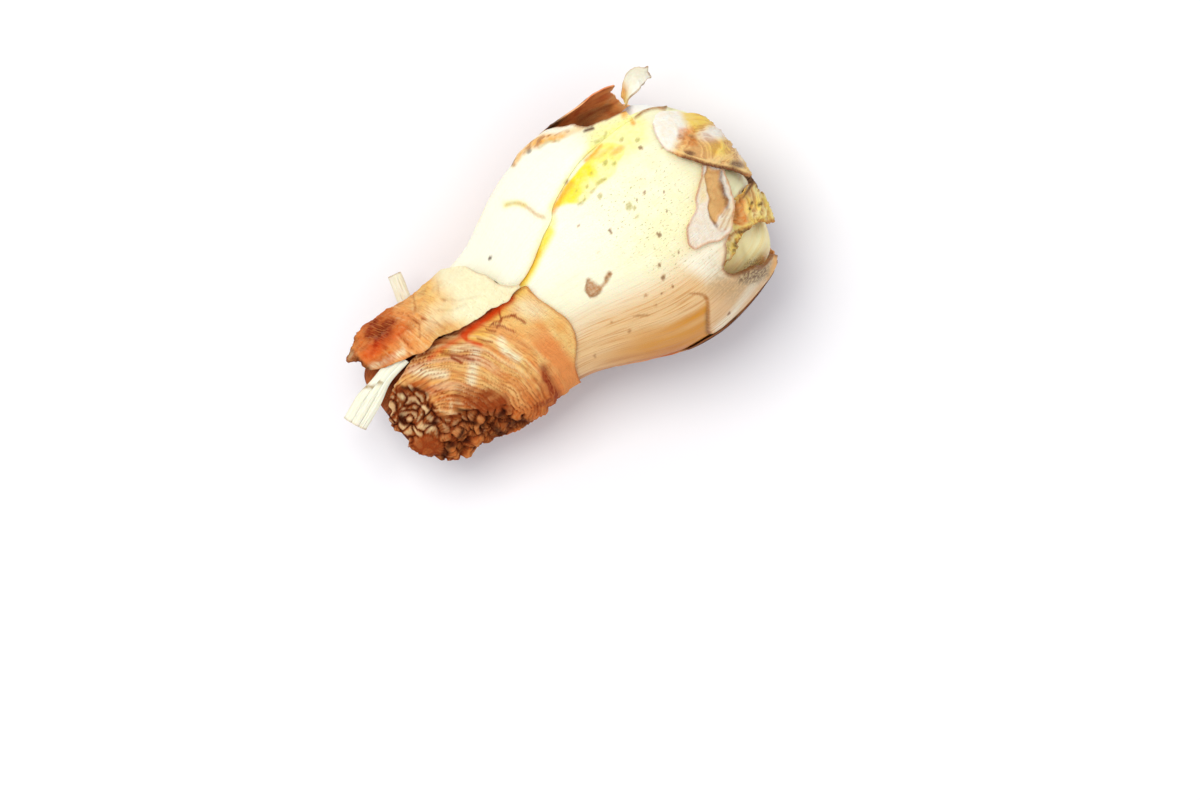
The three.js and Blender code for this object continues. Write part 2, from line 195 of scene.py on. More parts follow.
def closed_body(name, place, rings, sides):
    """A sphere with each point moved to place(u, turn): u runs from pole to pole, turn round it."""
    bpy.ops.object.select_all(action="DESELECT")
    bpy.ops.mesh.primitive_uv_sphere_add(segments=sides, ring_count=rings, radius=1)
    piece = bpy.context.object
    piece.name = piece.data.name = name
    ball = points_of(piece)
    u = np.arccos(np.clip(ball[:, 2], -1, 1)) / math.pi
    turn = np.arctan2(ball[:, 1], ball[:, 0]) / (2 * math.pi) % 1
    points, masks = place(u, turn)
    move_points(piece, points)
    write_masks(piece, masks)
    edit(piece, lambda: bpy.ops.mesh.normals_make_consistent(inside=False))
    return piece


def put_in_place(piece, finish, slot, *nodes):
    """Dresses a finished piece, which stands for these CAD nodes."""
    sharpest = 50  # degrees: an edge that turns more than this stays sharp
    bpy.ops.object.select_all(action="DESELECT")
    piece.select_set(True)
    bpy.context.view_layer.objects.active = piece
    bpy.ops.object.shade_smooth_by_angle(angle=sharpest * DEGREE)
    if not piece.data.materials:
        piece.data.materials.append(finish)
    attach(piece, "root")
    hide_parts(*nodes)


def display(red, green, blue):
    """A colour as it is seen, 0 to 255, as the shader takes it."""
    seen = [value / 255 for value in (red, green, blue)]
    return (*[v / 12.92 if v < 0.04045 else ((v + 0.055) / 1.055) ** 2.4 for v in seen], 1)


class Finish:
    """A procedural finish, built up coat by coat on one Principled shader. Its colours are as they
    are seen, 0 to 255."""

    def __init__(self, name, colour, roughness, specular=0.4, subsurface=0.0):
        self.material = bpy.data.materials.new(name)
        self.material.use_nodes = True
        self.nodes = self.material.node_tree.nodes
        self.links = self.material.node_tree.links
        self.shader = self.nodes["Principled BSDF"]
        self.shader.inputs["Roughness"].default_value = roughness
        self.shader.inputs["Specular IOR Level"].default_value = specular
        self.shader.inputs["Subsurface Weight"].default_value = subsurface
        self.shader.inputs["Subsurface Scale"].default_value = 2 * MM
        self.colour = display(*colour)
        self.normal = None

    def mask(self, name):
        node = self.nodes.new("ShaderNodeAttribute")
        node.attribute_name = name
        return node.outputs["Fac"]

    def grain(self, size, low=0.0, high=1.0, detail=3.0, stretch=(1, 1, 1), over=(0.3, 0.7)):
        """Noise laid along the skin, its values from over brought to low and high."""
        lie = self.nodes.new("ShaderNodeAttribute")
        lie.attribute_name = "lie"
        mapping = self.nodes.new("ShaderNodeMapping")
        mapping.inputs["Scale"].default_value = [1 / (size * s) for s in stretch]
        texture = self.nodes.new("ShaderNodeTexNoise")
        texture.inputs["Scale"].default_value = 1
        texture.inputs["Detail"].default_value = detail
        spread = self.nodes.new("ShaderNodeMapRange")
        spread.inputs["From Min"].default_value, spread.inputs["From Max"].default_value = over
        spread.inputs["To Min"].default_value, spread.inputs["To Max"].default_value = low, high
        self.links.new(lie.outputs["Vector"], mapping.inputs["Vector"])
        self.links.new(mapping.outputs["Vector"], texture.inputs["Vector"])
        self.links.new(texture.outputs["Fac"], spread.inputs["Value"])
        return spread.outputs["Result"]

    def coat(self, colour, amount):
        """Lays a colour over the ones below, where amount is above 0."""
        mix = self.nodes.new("ShaderNodeMix")
        mix.data_type = "RGBA"
        under, over, result = mix.inputs[6], mix.inputs[7], mix.outputs[2]
        if isinstance(self.colour, tuple):
            under.default_value = self.colour
        else:
            self.links.new(self.colour, under)
        over.default_value = display(*colour)
        self.links.new(amount, mix.inputs[0])
        self.colour = result
        return self

    def mottled(self, colour, mask, *grain, **laid):
        """Lays a colour over the ones below, where a mask is above 0, broken up by a grain."""
        shares = self.mask(mask), self.grain(*grain, **laid)
        product = self.nodes.new("ShaderNodeMath")
        product.operation = "MULTIPLY"
        for share, socket in zip(shares, product.inputs):
            self.links.new(share, socket)
        return self.coat(colour, product.outputs["Value"])

    def relief(self, height, depth):
        """A fine relief of this depth in millimetres."""
        bump = self.nodes.new("ShaderNodeBump")
        bump.inputs["Distance"].default_value = depth * MM
        self.links.new(height, bump.inputs["Height"])
        if self.normal:
            self.links.new(self.normal, bump.inputs["Normal"])
        self.normal = bump.outputs["Normal"]
        return self

    def done(self):
        self.links.new(self.colour, self.shader.inputs["Base Color"])
        if self.normal:
            self.links.new(self.normal, self.shader.inputs["Normal"])
        return self.material


def seen_from_above(points, angle):
    """The places of points as the eye sees them from above, and whether each is on the upper side."""
    nearer = EYE_HEIGHT / (EYE_HEIGHT + MIDDLE - points[..., 2])
    x = EYE[0] + (points[..., 0] - EYE[0]) * nearer
    y = EYE[1] + (points[..., 1] - EYE[1]) * nearer
    in_sight = 95  # degrees down from the top
    return x, y, (turn_from(angle, 0) < in_sight).astype(float)


def line_distance(x, y, line):
    """The distance of each place from a line of points."""
    best = np.full(np.shape(x), 1e9)
    for (x0, y0), (x1, y1) in zip(line[:-1], line[1:]):
        dx, dy = x1 - x0, y1 - y0
        t = limited(((x - x0) * dx + (y - y0) * dy) / (dx * dx + dy * dy))
        best = np.minimum(best, np.hypot(x - x0 - t * dx, y - y0 - t * dy))
    return best


def within(x, y, outline):
    """Whether each place is inside a closed outline."""
    inside = np.zeros(np.shape(x), bool)
    for (x0, y0), (x1, y1) in zip(outline, np.roll(outline, -1, axis=0)):
        if y0 != y1:
            inside ^= ((y0 > y) != (y1 > y)) & (x < x0 + (y - y0) * (x1 - x0) / (y1 - y0))
    return inside


def area(view, outline, soft=0.8):
    """1 inside an outline seen from above, falling to 0 round it."""
    x, y, upper = view
    distance = line_distance(x, y, outline + outline[:1])
    return upper * rise(np.where(within(x, y, outline), distance, -distance), -soft, soft)


def spot(view, x, y, length, width=None, turn=0.0, soft=0.3):
    """1 in an oval spot seen from above. Its length points turn degrees from +X."""
    dx, dy = view[0] - x, view[1] - y
    c, s = math.cos(turn * DEGREE), math.sin(turn * DEGREE)
    reach = np.hypot((dx * c + dy * s) / length, (dy * c - dx * s) / (width or length)) * 2
    return view[2] * rise(reach, 1 + soft, 1 - soft)


def inner_bulb():
    neck_end, neck_start = -21, -16
    least_depth = 0.15  # on the underside, where no outer scale covers it

    def place(u, turn):
        angle = turn * 360
        station = neck_end + (BASE_STATION - neck_end) * (1 - np.cos(math.pi * u)) / 2
        into = limited((neck_start - station) / (neck_start - neck_end))
        underneath = rise(turn_from(angle, 188), 44, 32) * rise(station, 50, 43)
        swelling = rise(station, 34, 41) * rise(turn_from(angle, -86), 36, 24) * rise(station, 52, 46)
        rot = 2.2 * rise(station, 12, 18) * rise(station, 33, 26) * rise(turn_from(angle, 86), 34, 16)
        depth = FLESH_DEPTH - (FLESH_DEPTH - least_depth) * underneath - 1.4 * swelling + rot
        way = np.stack([station * 0.12, angle * 0.16], axis=-1)
        ribs = 0.12 * noise(way, 1, 3) + 0.06 * noise(way * 3, 1, 4)
        points = off_skin(station, angle, -depth + ribs, np.sqrt(1 - into**2))
        view = seen_from_above(points, angle)
        lie = np.stack([station, angle * 0.5, 0 * angle], axis=-1)
        masks = {
            "lie": lie,
            "pale": area(view, [(28, 12), (28, 24), (33, 26), (39, 24), (39, 14), (35, 11)], 1.5),
            "yellow": np.maximum(
                spot(view, 41, 12, 5, 7, soft=0.9), 0.7 * spot(view, 37.5, 14, 3, 4, soft=0.8)
            ),
            "ochre": limited(
                spot(view, 37.5, 9.8, 4, 2.4, -35, 0.7) + 0.9 * spot(view, 36, -26, 4.4, 2.6, 60, 0.7)
                + 0.5 * spot(view, 27, -19.6, 5, 2, 0, 0.8) + rise(station, 52, 58)
            ),
            "shade": spot(view, 30.6, -18.6, 5, 1, 68, 0.9) * 0.35,
            "speckle": area(view, [(27, -22), (30.5, -20.6), (34.5, -22.6), (34, -26), (29, -26)], 1.2),
            "rot": rise(station, 13, 17) * rise(station, 32, 28) * rise(turn_from(angle, 80), 36, 22),
            # painted shade: dark brown where the cavity's wall keeps the light off the flesh
            "char": limited(area(view, [(14, 29.5), (17, 26.4), (20.6, 24.6), (23, 25), (21, 27.4),
                                        (18, 29)], 0.8)
                            + spot(view, 29.6, 24.4, 4, 2.2, 70, 0.6)),
        }
        return points, masks

    finish = Finish("inner_flesh", (255, 244, 190), 0.42, subsurface=0.12)
    finish.coat((255, 226, 138), finish.grain(3, 0, 0.7, stretch=(6, 0.6, 1)))
    finish.coat((255, 254, 244), finish.mask("pale"))
    finish.mottled((252, 222, 84), "yellow", 1.2, 0.6, 1)
    finish.mottled((228, 150, 60), "ochre", 1.5, 0.3, 1)
    finish.coat((190, 160, 70), finish.mask("shade"))
    finish.mottled((150, 100, 62), "speckle", 0.6, 0, 1, 5, over=(0.46, 0.6))
    finish.mottled((186, 96, 48), "rot", 2.5, 0.85, 1)
    # painted shade in the cavity
    finish.mottled((86, 34, 20), "char", 1.2, 0.7, 1, 5)
    finish.relief(finish.grain(0.8, stretch=(8, 0.6, 1)), 0.12)
    piece = closed_body("inner_bulb_flesh", place, 130, 200)
    put_in_place(piece, finish.done(), "inner_flesh", "inner_bulb")


inner_bulb()

# --- Basal plate ------------------------------------------------------------------------------
# The corky disc that every scale grows from. Its face is rough with the scars of the old roots,
# which broke off in rings.


def rough(places, size, seed=0, octaves=4):
    """Noise with finer and finer lumps on it."""
    return sum(noise(places, size / 2**n, seed + 7 * n) / 2**n for n in range(octaves))


def basal_plate():
    rim, under = 51.8, -FLESH_DEPTH + 0.35
    inner_share = 0.4  # of the way from pole to pole, on the hidden inner face
    scar_rings = ((0.25, 7), (0.5, 12), (0.75, 17))  # how far out each is, and how many scars it has
    lip, scar, pit_floor = 0.13, 0.085, 0.03  # the radii of a scar's parts, the disc's being 1
    random = np.random.default_rng(11)

    def place(u, turn):
        inside = u < inner_share
        out = np.where(inside, u / inner_share, (1 - u) / (1 - inner_share))
        angle = turn * 360
        station = BASE_STATION - (BASE_STATION - rim) * out
        flat = np.stack([out * np.cos(angle * DEGREE), out * np.sin(angle * DEGREE)], axis=-1)
        lumps = 0.3 * rough(flat, 0.25, 5)
        pit = 0 * out
        for reach, count in scar_rings:
            for index in range(count):
                way = 2 * math.pi * (index + 0.35 * random.random()) / count
                centre = reach * np.array([math.cos(way), math.sin(way)])
                distance = np.hypot(*(flat - centre).T)
                sunk = rise(distance, scar, pit_floor)
                pit = np.maximum(pit, sunk)
                lumps = lumps + 0.35 * rise(distance, lip, scar) - 0.75 * sunk
        height = np.where(inside, under, 0.75 + lumps * rise(1 - out, 0, 0.15))
        points = off_skin(station, angle, height)
        lie = np.stack([flat[:, 0] * 10, flat[:, 1] * 10, 0 * out], axis=-1)
        return points, {"lie": lie, "pit": pit * ~inside}

    finish = Finish("cork", (122, 84, 58), 0.9, 0.15)
    finish.coat((171, 128, 88), finish.grain(0.7, 0, 0.8))
    finish.coat((64, 40, 28), finish.grain(0.35, 0, 0.7, over=(0.5, 0.65)))
    finish.coat((44, 26, 18), finish.mask("pit"))
    finish.relief(finish.grain(0.3, detail=5), 0.3)
    piece = closed_body("basal_plate_cork", place, 90, 120)
    put_in_place(piece, finish.done(), "cork", "basal_plate")


basal_plate()

# --- The two outer scales ---------------------------------------------------------------------
# Broad fleshy scales, thick and cream coloured, each grown from the base. The near one goes from
# the top over the near side. The far one's thin margin rides over it along the seam, and it is
# bitten back where the far shoulder has rotted. Both are broken back at the base.


def smooth_line(points):
    """A smooth line through given points, as a function of the way along it, 0 to 1."""
    points = np.array(points, float)
    points = np.vstack([2 * points[0] - points[1], points, 2 * points[-1] - points[-2]])
    fine = []
    for k in range(1, len(points) - 2):
        x0, x1, x2, x3 = points[k - 1 : k + 3]
        d0, d1, d2 = [math.sqrt(np.linalg.norm(b - a)) for a, b in ((x0, x1), (x1, x2), (x2, x3))]
        t1 = ((x1 - x0) / d0 - (x2 - x0) / (d0 + d1) + (x2 - x1) / d1) * d1
        t2 = ((x2 - x1) / d1 - (x3 - x1) / (d1 + d2) + (x3 - x2) / d2) * d1
        t = np.linspace(0, 1, 24, endpoint=False)[:, None]
        fine.append(x1 + t1 * t + (3 * (x2 - x1) - 2 * t1 - t2) * t**2 + (2 * (x1 - x2) + t1 + t2) * t**3)
    fine = np.vstack([*fine, points[-2:-1]])
    way = np.concatenate([[0], np.cumsum(np.linalg.norm(np.diff(fine, axis=0), axis=1))])

    def at(t):
        return np.stack([np.interp(np.asarray(t) * way[-1], way, column) for column in fine.T], axis=-1)

    at.length = way[-1]
    return at


class Lay:
    """A piece of the skin, cut out between four smooth edges of [station, angle] points. low and
    high go along the bulb, start and finish join them at their two ends. torn is how far each of
    the four is ragged, in millimetres. It keeps a grid of points with the station s and angle a of
    each, its place on the flattened skin, its distance from each edge, and whether it is kept. lie
    is where its finish lays its grain."""

    def __init__(self, low, high, start, finish, torn=(0, 0, 0, 0), seed=0, per_degree=0.5, spacing=0.42):
        plane = [1, per_degree]
        low, high, start, finish = [
            self.ragged(smooth_line(np.array(points) * plane), reach, seed + 10 * k)
            for k, (points, reach) in enumerate(zip((low, high, start, finish), torn))
        ]
        loop = np.vstack([low[:-1], finish[:-1], high[:0:-1], start[:0:-1]])
        corner, opposite = loop.min(axis=0) - spacing, loop.max(axis=0) + spacing
        self.rows, self.columns = np.ceil((opposite - corner) / spacing).astype(int)
        self.way = np.stack(np.meshgrid(
            corner[0] + spacing * np.arange(self.rows + 1),
            corner[1] + spacing * np.arange(self.columns + 1),
            indexing="ij",
        ), axis=-1)
        inside = within(self.way[..., 0], self.way[..., 1], loop)
        faces = inside[:-1, :-1] & inside[1:, :-1] & inside[:-1, 1:] & inside[1:, 1:]
        padded = np.pad(faces, 1)
        round_each = [padded[:-1, :-1], padded[1:, :-1], padded[:-1, 1:], padded[1:, 1:]]
        self.kept = np.any(round_each, axis=0)
        rim = self.kept & ~np.all(round_each, axis=0)
        self.way[rim] = nearest_on(self.way[rim], np.vstack([loop, loop[:1]]))
        self.s, self.a = self.way[..., 0], self.way[..., 1] / per_degree
        self.skin = skin(self.s, self.a)
        self.view = seen_from_above(self.skin, self.a)
        x, y = self.way[..., 0], self.way[..., 1]
        self.lie = np.stack([x, y, 0 * x], axis=-1)
        distances = [line_distance(x, y, line) for line in (low, high, start, finish)]
        self.from_low, self.from_high, self.from_start, self.from_finish = distances
        self.from_edge = np.minimum.reduce(distances)

    @staticmethod
    def ragged(line, reach, seed):
        """Points along a line about 0.6 mm apart, or 0.25 where it is torn."""
        count = round(line.length / (0.25 if reach else 0.6)) + 2
        t = np.linspace(0, 1, count)
        way = np.stack([t * line.length, 0 * t], axis=-1)
        ends = limited(np.minimum(t, 1 - t) * line.length / 3)[:, None]
        drift = np.stack([rough(way, 2.2, seed), rough(way, 2.2, seed + 5)], axis=-1)
        return line(t) + reach * ends * drift


def nearest_on(places, line):
    """The nearest point of a line to each place."""
    best, nearest = np.full(len(places), 1e9), places.copy()
    for start, end in zip(line[:-1], line[1:]):
        way = end - start
        t = limited((places - start) @ way / max(way @ way, 1e-12))
        foot = start + t[:, None] * way
        distance = np.linalg.norm(places - foot, axis=1)
        closer = distance < best
        best[closer], nearest[closer] = distance[closer], foot[closer]
    return nearest


def walled(piece, thickness):
    """Gives a thin piece its wall, inwards. thickness holds a number for each point. A second
    finish, where there is one, goes on the inner face and the rim."""
    group = piece.vertex_groups.new(name="wall")
    for index, share in enumerate(thickness / thickness.max()):
        group.add([index], float(share), "REPLACE")
    bpy.ops.object.modifier_add(type="SOLIDIFY")
    solidify = piece.modifiers[-1]
    solidify.thickness = float(thickness.max()) * MM
    solidify.offset = -1
    solidify.vertex_group = "wall"
    solidify.material_offset = solidify.material_offset_rim = max(len(piece.data.materials) - 1, 0)
    bpy.ops.object.modifier_apply(modifier=solidify.name)
    piece.vertex_groups.clear()


def sheet(name, points, wall, masks, kept=None, finishes=()):
    """A thin piece whose outer face goes through a grid of points, where they are kept. wall is
    its thickness, one number or one for each point. finishes are its outer and inner face's, where
    they differ."""
    rows, columns = points.shape[0] - 1, points.shape[1] - 1
    bpy.ops.object.select_all(action="DESELECT")
    bpy.ops.mesh.primitive_grid_add(x_subdivisions=rows, y_subdivisions=columns, size=1)
    piece = bpy.context.object
    piece.name = piece.data.name = name
    for finish in finishes:
        piece.data.materials.append(finish)
    flat = points_of(piece)
    i = np.rint((flat[:, 0] + 0.5) * rows).astype(int)
    j = np.rint((flat[:, 1] + 0.5) * columns).astype(int)
    move_points(piece, points[i, j])
    write_masks(piece, {key: values[i, j] for key, values in masks.items()})
    thickness = np.broadcast_to(wall, points.shape[:2])[i, j]
    if kept is not None:
        edit(piece, lambda: bpy.ops.mesh.delete(type="VERT"), chosen=~kept[i, j])
        thickness = thickness[kept[i, j]]
    walled(piece, thickness)
    return piece


def stroke(view, line, width, soft=0.5):
    """1 along a line seen from above, falling to 0 beyond its half width."""
    x, y, upper = view
    return upper * rise(line_distance(x, y, line), width / 2 + soft, width / 2 - min(soft, width / 2))


def spots(view, places, soft=0.3):
    """The sum of oval spots, each given by its place, its length and, where needed, width and turn."""
    return sum(spot(view, *place, soft=soft) for place in places)


def unsteady(view, way, reach, size, seeds):
    """A view with its places shifted by noise, so that the marks laid on it have uneven edges."""
    x, y, upper = view
    return x + reach * noise(way, size, seeds[0]), y + reach * noise(way, size, seeds[1]), upper


def flesh_finish(name):
    """Cream flesh under a thin skin: pale on top, golden where the outer skin is gone, with fine
    fibres along it, small freckles, and brown lines along its torn edges."""
    finish = Finish(name, (250, 248, 222), 0.46, 0.22, subsurface=0.12)
    finish.coat((253, 252, 230), finish.grain(7, 0, 1, 2))
    finish.mottled((247, 242, 194), "green", 3, 0.55, 1, 5)
    finish.coat((237, 194, 134), finish.mask("warm"))
    finish.coat((218, 146, 42), finish.mask("gold"))
    finish.coat((182, 94, 22), finish.mask("tan"))
    finish.mottled((232, 190, 140), "pink", 2, 0.7, 1, 5)
    finish.coat((255, 252, 228), finish.mask("cream"))
    finish.mottled((214, 152, 84), "fibre", 0.6, 0, 0.85, stretch=(16, 0.7, 1), over=(0.5, 0.64))
    finish.mottled((246, 240, 132), "pale_yellow", 1.2, 0.5, 1, 5)
    finish.mottled((250, 226, 30), "yellow", 1.4, 0.75, 1)
    finish.mottled((240, 166, 40), "amber", 1.1, 0.65, 1)
    finish.mottled((176, 160, 72), "olive", 0.6, 0.6, 1, 5)
    finish.mottled((168, 156, 92), "freckle", 0.42, 0, 0.85, 1, stretch=(1.8, 1, 1), over=(0.62, 0.72))
    finish.mottled((214, 190, 138), "mould", 2, 0.6, 1)
    finish.mottled((132, 100, 70), "mould", 0.8, 0.25, 1, 5, over=(0.38, 0.56))
    finish.mottled((180, 112, 40), "brown", 0.7, 0.6, 1, 5)
    finish.coat((84, 46, 18), finish.mask("dark"))
    finish.relief(finish.grain(0.5, stretch=(14, 0.7, 1)), 0.06)
    finish.relief(finish.grain(0.25), 0.025)
    return finish.done()


SEAM = [
    (-16, 11.5), (-12, 12), (-7.7, 15.4), (-3.7, 20.6), (0.2, 24.9), (2.2, 29.9), (6.1, 34.3),
    (10, 38.5), (13, 41.2), (20, 44.2), (29, 48),
]  # where the far scale's margin lies over the near one
SEAM_SEEN = [
    (-16.5, 5.6), (-13.3, 6.2), (-10.1, 7.4), (-6, 9.6), (-1.6, 11.6), (0.6, 13.4), (2.4, 15.4),
    (5.2, 16.4), (8.3, 17.9), (12.8, 19.1), (16.1, 19.8), (20.1, 20.3), (28, 20.8), (31, 20.5),
]  # the same seam as seen from above
FAR_SHOULDER = [
    (15, 19.8), (19, 23.8), (21.8, 24.4), (26, 23.2), (31, 23), (31, 18), (28.4, 15), (25.2, 14.3),
    (20, 15),
]  # where both scales are pale yellow


def front_scale():
    lay = Lay(
        low=[(-16, -120), (10, -124), (38, -120)],
        high=[
            (-16, 17), (-12, 19), (-4, 27.5), (2, 36.5), (10, 45.5), (16, 49), (24, 51.5), (29, 52),
            (33, 53.5), (38, 54.5),
        ],
        start=[(-16, -120), (-16.5, -60), (-16, -20), (-16, 17)],
        finish=[
            (38, -120), (36, -100), (36.8, -84), (37.6, -72), (35.2, -65), (32.4, -61.5), (30.6, -56.5),
            (27.6, -52), (24.8, -46.5), (24.4, -40), (26.4, -36.4), (28.4, -31), (30, -29), (32, -27.8),
            (34, -22), (36, -19.4), (41, -18.5), (47.5, -26), (50.8, -14), (51, 10), (50, 35), (46, 50),
            (38, 54.5),
        ],
        torn=(0, 0, 0, 0.25), seed=2,
    )
    view, s, a = lay.view, lay.s, lay.a
    wobbly = unsteady(view, lay.way, 0.5, 2.4, (9, 10))
    skin_edge = smooth_line([
        (14.6, -100), (14.2, -90), (13.4, -76), (14.2, -66), (15.6, -57), (16.8, -51), (17.2, -46),
        (16.2, -42), (14.8, -39.6),
    ])(np.linspace(0, 1, 60))  # the outer skin is gone on the neck side of this line
    off_skin_edge = s - np.interp(a, skin_edge[:, 1], skin_edge[:, 0])
    below_skin_top = rise(a, -38, -41)
    skinned = rise(off_skin_edge, -0.15, 0.3)
    bare = rise(off_skin_edge, 0.2, -0.2)
    ribs = 0.10 * noise(lay.way * [0.06, 0.5], 1, 1) + 0.05 * noise(lay.way * [0.1, 1.3], 1, 2)
    swell = 0.22 * noise(lay.skin, 14, 3)
    step = 0.35 * (skinned - 1) * rise(a, -36, -46) * rise(s, -2, 12)
    lifted = 0.4 * rise(lay.from_finish, 2.5, 0) * rise(a, -110, -60) * (0.6 + 0.6 * noise(lay.way, 3, 4))
    tucked = rise(lay.from_high, 5, 3)
    twig = [(29.7, 20.7), (31.8, 20.7), (33.6, 20.2), (35, 19.4), (36, 18.2), (36.8, 18.6)]
    thread = stroke(view, twig, 0.3, 0.45)  # a dried thread stuck to the skin
    height = (ribs + swell) * (1 - 0.8 * tucked) + step + lifted - 0.4 * tucked + 0.35 * thread
    wall = 2.2 - 1.5 * rise(lay.from_finish, 4, 0) - 1.2 * rise(lay.from_high, 5, 1)

    seam = line_distance(*view[:2], SEAM_SEEN)
    yellow_strip = area(wobbly, SEAM_SEEN[6:12] + [
        (23, 17.6), (22.4, 15.6), (20.3, 14.4), (17.8, 13.4), (15.7, 12.6), (14.2, 13.3), (11.8, 13),
        (10.5, 12.2), (7.4, 13.4), (5.5, 14.5), (3.4, 15),
    ], 0.45)
    rot_line = [(7.6, 13), (9.6, 12.6), (11.1, 12.8), (12.6, 13.6), (14.7, 13.5), (15.9, 13.1)]
    blotch = limited(
        area(wobbly, [(-0.9, -2.2), (-1.9, -3), (-2.5, -4.6), (-1.9, -6), (-0.6, -6.3), (0.4, -5.6),
                      (0, -4), (-0.6, -3)], 0.5)
        + stroke(wobbly, [(0, -5.4), (1.4, -5), (2.6, -4.5), (3.8, -4)], 0.8, 0.4)
        + spot(view, 2.5, -4.5, 1.2, 1) + spot(view, 3.7, -4.2, 1.3, 0.9, 60))
    blotch_rim = stroke(wobbly, [(-1.4, -2.4), (-2.4, -3.8), (-2.3, -5.4), (-1.2, -6.2),
                                 (-0.2, -6)], 0.5, 0.4)
    specks = spots(view, [
        (9.6, 3.5, 1.4, 0.7, 70), (-10.1, -16.8, 1.2, 0.6, 60), (3.6, -15.9, 4, 0.6, -34),
        (-2.5, -13, 0.8, 0.6), (-0.5, -17.1, 1, 0.8, 20), (7.3, -12.9, 1, 0.7, -30),
        (7.7, -16, 0.8, 0.6), (17.8, -3.7, 1.4, 0.8, -60), (13.8, -9.2, 1.1, 0.8, 60),
        (12.8, -12, 1.5, 0.9, 40), (20.5, -6, 0.5), (18.6, 5.6, 0.8, 0.5, 20),
        (21, 5.8, 0.9, 0.6, 30), (4.6, 8.7, 0.8, 0.5), (4.6, 1.2, 0.5), (22.4, -0.5, 0.6),
        (10.4, -14.6, 0.8, 0.5), (24.5, 3.2, 0.5), (26.3, 14.3, 1.2, 0.8, -30), (13.2, -14.8, 0.6),
        (19, -9.5, 0.7, 0.5, -50), (19.8, -27.3, 1, 0.6, 20), (8.4, 18.4, 0.8, 0.4, 60),
    ])
    masks = {
        "lie": lay.lie,
        "green": rise(s, 0, 20) * rise(a, -40, -6) * 0.9 + 0.5 * rise(a, 8, -12) * rise(a, -34, -16),
        "warm": 0.95 * rise(a + 5 * noise(lay.way, 9, 5), -12, -40) * rise(s, 32, 22)
            + 0.5 * rise(a, -24, -50) * rise(s, 20, 28),
        "gold": bare * rise(a + 6 * noise(lay.way * [0.25, 1], 3, 6), -46, -60) * rise(s, -16, 2),
        # tan: partly the scale's own tan, partly painted shade where the skin curves away underneath
        "tan": rise(a + 8 * noise(lay.way * [0.2, 1], 2, 7), -66, -84) * rise(s, 16, 4) * 0.8,
        "pink": rise(off_skin_edge, -0.2, 0.6) * rise(a, -38, -50) * rise(s, 10, 20),
        "cream": limited(0.85 * area(view, [(18, -11.5), (24, -11.8), (28, -12.6), (25.6, -17),
                                            (24.6, -20), (20, -18.6)], 2)
                         + 0.6 * stroke(view, [(15.6, -28.6), (20, -28), (25, -26.4),
                                               (30, -24.6)], 1, 1)),
        "fibre": rise(a, -18, -42) * rise(s, 34, 12) * 0.9 + 0.06,
        "pale_yellow": limited(0.8 * yellow_strip + 0.75 * area(view, FAR_SHOULDER, 1.6)
                               + 0.8 * stroke(view, SEAM_SEEN[1:6], 2.2, 1)),
        "yellow": limited(
            yellow_strip * rise(seam, 4.6, 1.4) * rise(view[0], 18, 13)
            + 0.5 * yellow_strip * rise(noise(lay.way, 1.8, 8), -0.2, 0.5)
            + 0.9 * stroke(view, SEAM_SEEN[1:5], 2.2, 1)),
        "amber": limited(
            stroke(view, [(1.8, 15), (3.6, 15.7), (6, 16.6), (9, 17.4)], 1, 0.9) * 0.85
            + stroke(view, SEAM_SEEN[:4], 1, 0.7) * 0.6 * rise(noise(lay.way, 3, 12), -0.8, 0.2)
            + stroke(view, [(14.7, 19.6), (17, 19.6), (19.4, 20.2)], 0.7, 0.5)
            + spot(view, 21.8, 17, 3.2, 1.2, -5, 0.7) * 0.85 + spot(view, 28.5, 20.2, 1.8, 1, 70, 0.7)
            + 0.4 * stroke(wobbly, [(16.6, 18.8), (18.6, 18.6), (21, 18.2)], 0.5, 0.4)
            + 0.9 * stroke(view, [(36.6, -22), (35.4, -24), (33.8, -25), (32, -26)], 1.2, 0.8)),
        "olive": limited(
            0.9 * stroke(wobbly, rot_line, 0.5, 0.5) * rise(noise(lay.way, 1.1, 12), -0.5, 0.2)
            + spots(view, [
                (17.9, 16.4, 1.5, 1, 20), (19.4, 15.1, 1.1, 0.8), (12.5, 11.2, 1.4, 1.1, 60),
                (24, 18.4, 1.2, 0.8), (14, 16.4, 0.8, 0.5), (16.3, 5.5, 2, 1.4, 40),
                (17.1, 4.4, 1, 0.8), (16.4, 2.5, 0.9, 0.7), (11.4, 14.6, 1, 0.6, 40),
                (26.8, 16.2, 1.2, 0.9), (9, 15.4, 0.8, 0.5),
            ]) * 0.8),
        "freckle": 0.75 * area(view, [(8, 4), (10, 12), (30, 12), (31, -8), (24, -16), (12, -14)], 4)
            + 0.3 * yellow_strip,
        "mould": limited(area(view, [(28, -20.6), (31.6, -22.4), (34, -23.6), (32, -25.6),
                                     (28.6, -25), (26, -23)], 1.4)
                         + 0.3 * area(view, [(24, -16), (30, -22), (31, -26), (22, -26),
                                             (19, -20)], 2.4)),
        "brown": limited(
            0.95 * blotch + blotch_rim + 0.75 * specks + thread
            + 0.7 * stroke(view, [(30, 11.5), (32, 10.7), (34.5, 10.6)], 0.3, 0.3)
            + rise(np.abs(off_skin_edge - 0.1), 0.6, 0.2) * below_skin_top * rise(a, -100, -92)
            + 0.8 * rise(lay.from_finish, 1, 0.2) * rise(a, 5, -5)),
        "dark": limited(
            0.25 * thread + rise(specks, 0.5, 1) * (rise(view[0], 9, 9.4) * 0.45 + 0.1)
            + 0.3 * blotch_rim + 0.4 * (spot(view, 2.5, -4.5, 0.8) + spot(view, 3.7, -4.1, 0.7))
            # painted shade: a dark band on the bare flesh just beside the raised edge of the outer skin
            + 0.5 * rise(off_skin_edge, -1.2, -0.1) * bare * rise(a, -50, -58)
            + 0.6 * rise(lay.from_finish, 0.4, 0) * rise(a, -20, -40)),
    }
    piece = sheet("front_scale_flesh", off_skin(s, a, height), wall, masks, lay.kept)
